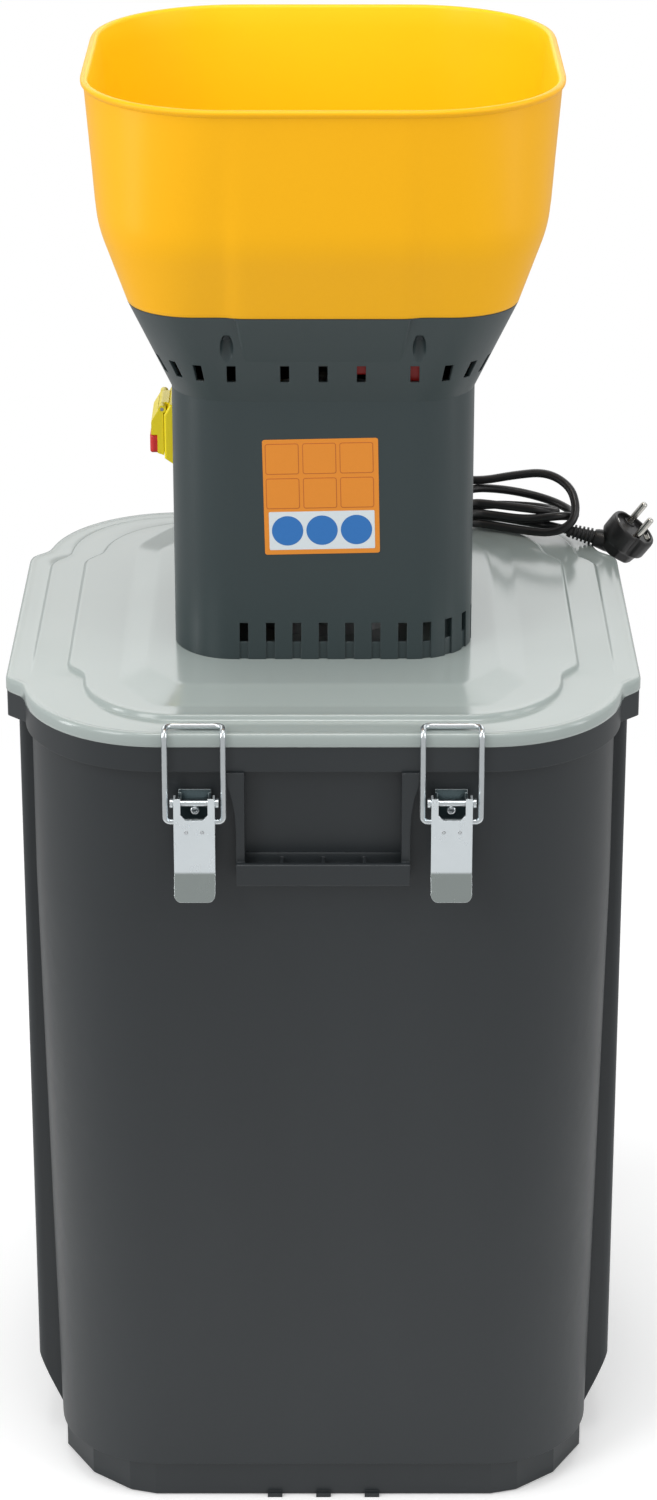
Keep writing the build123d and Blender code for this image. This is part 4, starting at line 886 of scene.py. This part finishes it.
pin_bm = bmesh.new()
for pin_frame in pin_frames:
    turned(pin_bm, PIN, pin_frame, 32)
plug_prongs = settle(
    "mains_plug_pins", pin_bm, pin_metal, stands_for=["plug_pins"], smooth=35.0)

clip_bm = bmesh.new()
for hand in (-1, 1):
    for (distance, height), size in EARTH_PLATES:
        middle = Matrix.Translation(Vector((0.0, hand * distance, height)) * MM)
        shape = middle @ Matrix.Diagonal((*(length * MM for length in size), 1.0))
        bmesh.ops.create_cube(clip_bm, size=1.0, matrix=plug_frame @ shape)
earth_clips = settle("plug_earth_clips", clip_bm, pin_metal, smooth=0.0)

lead = soft_line("mains_lead", lead_route, CORD_DIAMETER / 2)
lead.data.materials.append(cord_sheath)
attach(lead, "mill")
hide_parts("mains_cord", "cord_hank", "cord_tail")


# ---------------------------------------------------------------- floor
FLOOR_SIZE = 6.0
FLOOR_GREY = (0.93, 0.93, 0.93, 1.0)
FLOOR_GLOW = (0.22, 0.22, 0.22, 1.0)
FLOOR_FADE = (0.8, 0.7)

floor_bm = bmesh.new()
bmesh.ops.create_grid(floor_bm, x_segments=1, y_segments=1, size=FLOOR_SIZE)
floor_finish = Finish("floor")
seen = floor_finish.node("ShaderNodeLightPath", output="Is Camera Ray")
glow = floor_finish.between(seen, (0.0, 0.0, 0.0, 1.0), FLOOR_GLOW)
plain = floor_finish.node("ShaderNodeBsdfPrincipled", {}, {
    "Base Color": FLOOR_GREY, "Roughness": 0.9, "Specular IOR Level": 0.0,
    "Emission Color": glow, "Emission Strength": 1.0,
})
clear = floor_finish.node("ShaderNodeBsdfTransparent")
away = floor_finish.vector_maths("LENGTH", {0: floor_finish.place()}, "Value")
faded = floor_finish.node(
    "ShaderNodeMixShader", {}, {0: away.above(*FLOOR_FADE), 1: plain, 2: clear})
floor_finish.node("ShaderNodeOutputMaterial", {}, {"Surface": faded})
floor_mesh = bpy.data.meshes.new("floor")
floor_bm.to_mesh(floor_mesh)
floor_bm.free()
floor_mesh.materials.append(floor_finish.material)
floor = bpy.data.objects.new("floor", floor_mesh)
scene.collection.objects.link(floor)

# ---------------------------------------------------------------- light
ROOM_LIGHT = 0.56

scene.world = bpy.data.worlds.new("studio")
scene.world.use_nodes = True
world_tree = scene.world.node_tree
world_tree.nodes.clear()
ray = world_tree.nodes.new("ShaderNodeLightPath")
strength = world_tree.nodes.new("ShaderNodeMapRange")
strength.inputs["To Min"].default_value = ROOM_LIGHT
strength.inputs["To Max"].default_value = 1.0
background = world_tree.nodes.new("ShaderNodeBackground")
background.inputs["Color"].default_value = (1.0, 1.0, 1.0, 1.0)
world_out = world_tree.nodes.new("ShaderNodeOutputWorld")
world_tree.links.new(ray.outputs["Is Camera Ray"], strength.inputs["Value"])
world_tree.links.new(strength.outputs["Result"], background.inputs["Strength"])
world_tree.links.new(background.outputs["Background"], world_out.inputs["Surface"])

# Each lamp: its name, place, aim, size and power.
LAMPS = [
    ("key_light", (-1.6, -1.7, 2.0), (0, 0, 0.55), (0.8, 1.8), 19),
    ("fill_light", (1.9, -1.4, 1.5), (0, 0, 0.5), (0.6, 1.8), 8),
    ("top_light", (0.0, -0.5, 2.6), (0, 0, 0.9), (1.0, 1.0), 16),
    ("rear_light", (0.0, 2.2, 1.75), (0, 0, 0.6), (3.6, 1.2), 15),
    ("left_light", (-2.3, -0.5, 1.1), (0, 0, 0.6), (0.5, 1.8), 15),
    ("right_light", (2.3, -0.5, 1.1), (0, 0, 0.6), (0.5, 1.8), 9),
]
for name, place, aim, size, power in LAMPS:
    data = bpy.data.lights.new(name, "AREA")
    data.shape = "RECTANGLE"
    data.size, data.size_y = size
    data.energy = power
    light = bpy.data.objects.new(name, data)
    light.location = place
    light.rotation_euler = (Vector(aim) - Vector(place)).to_track_quat("-Z", "Y").to_euler()
    scene.collection.objects.link(light)
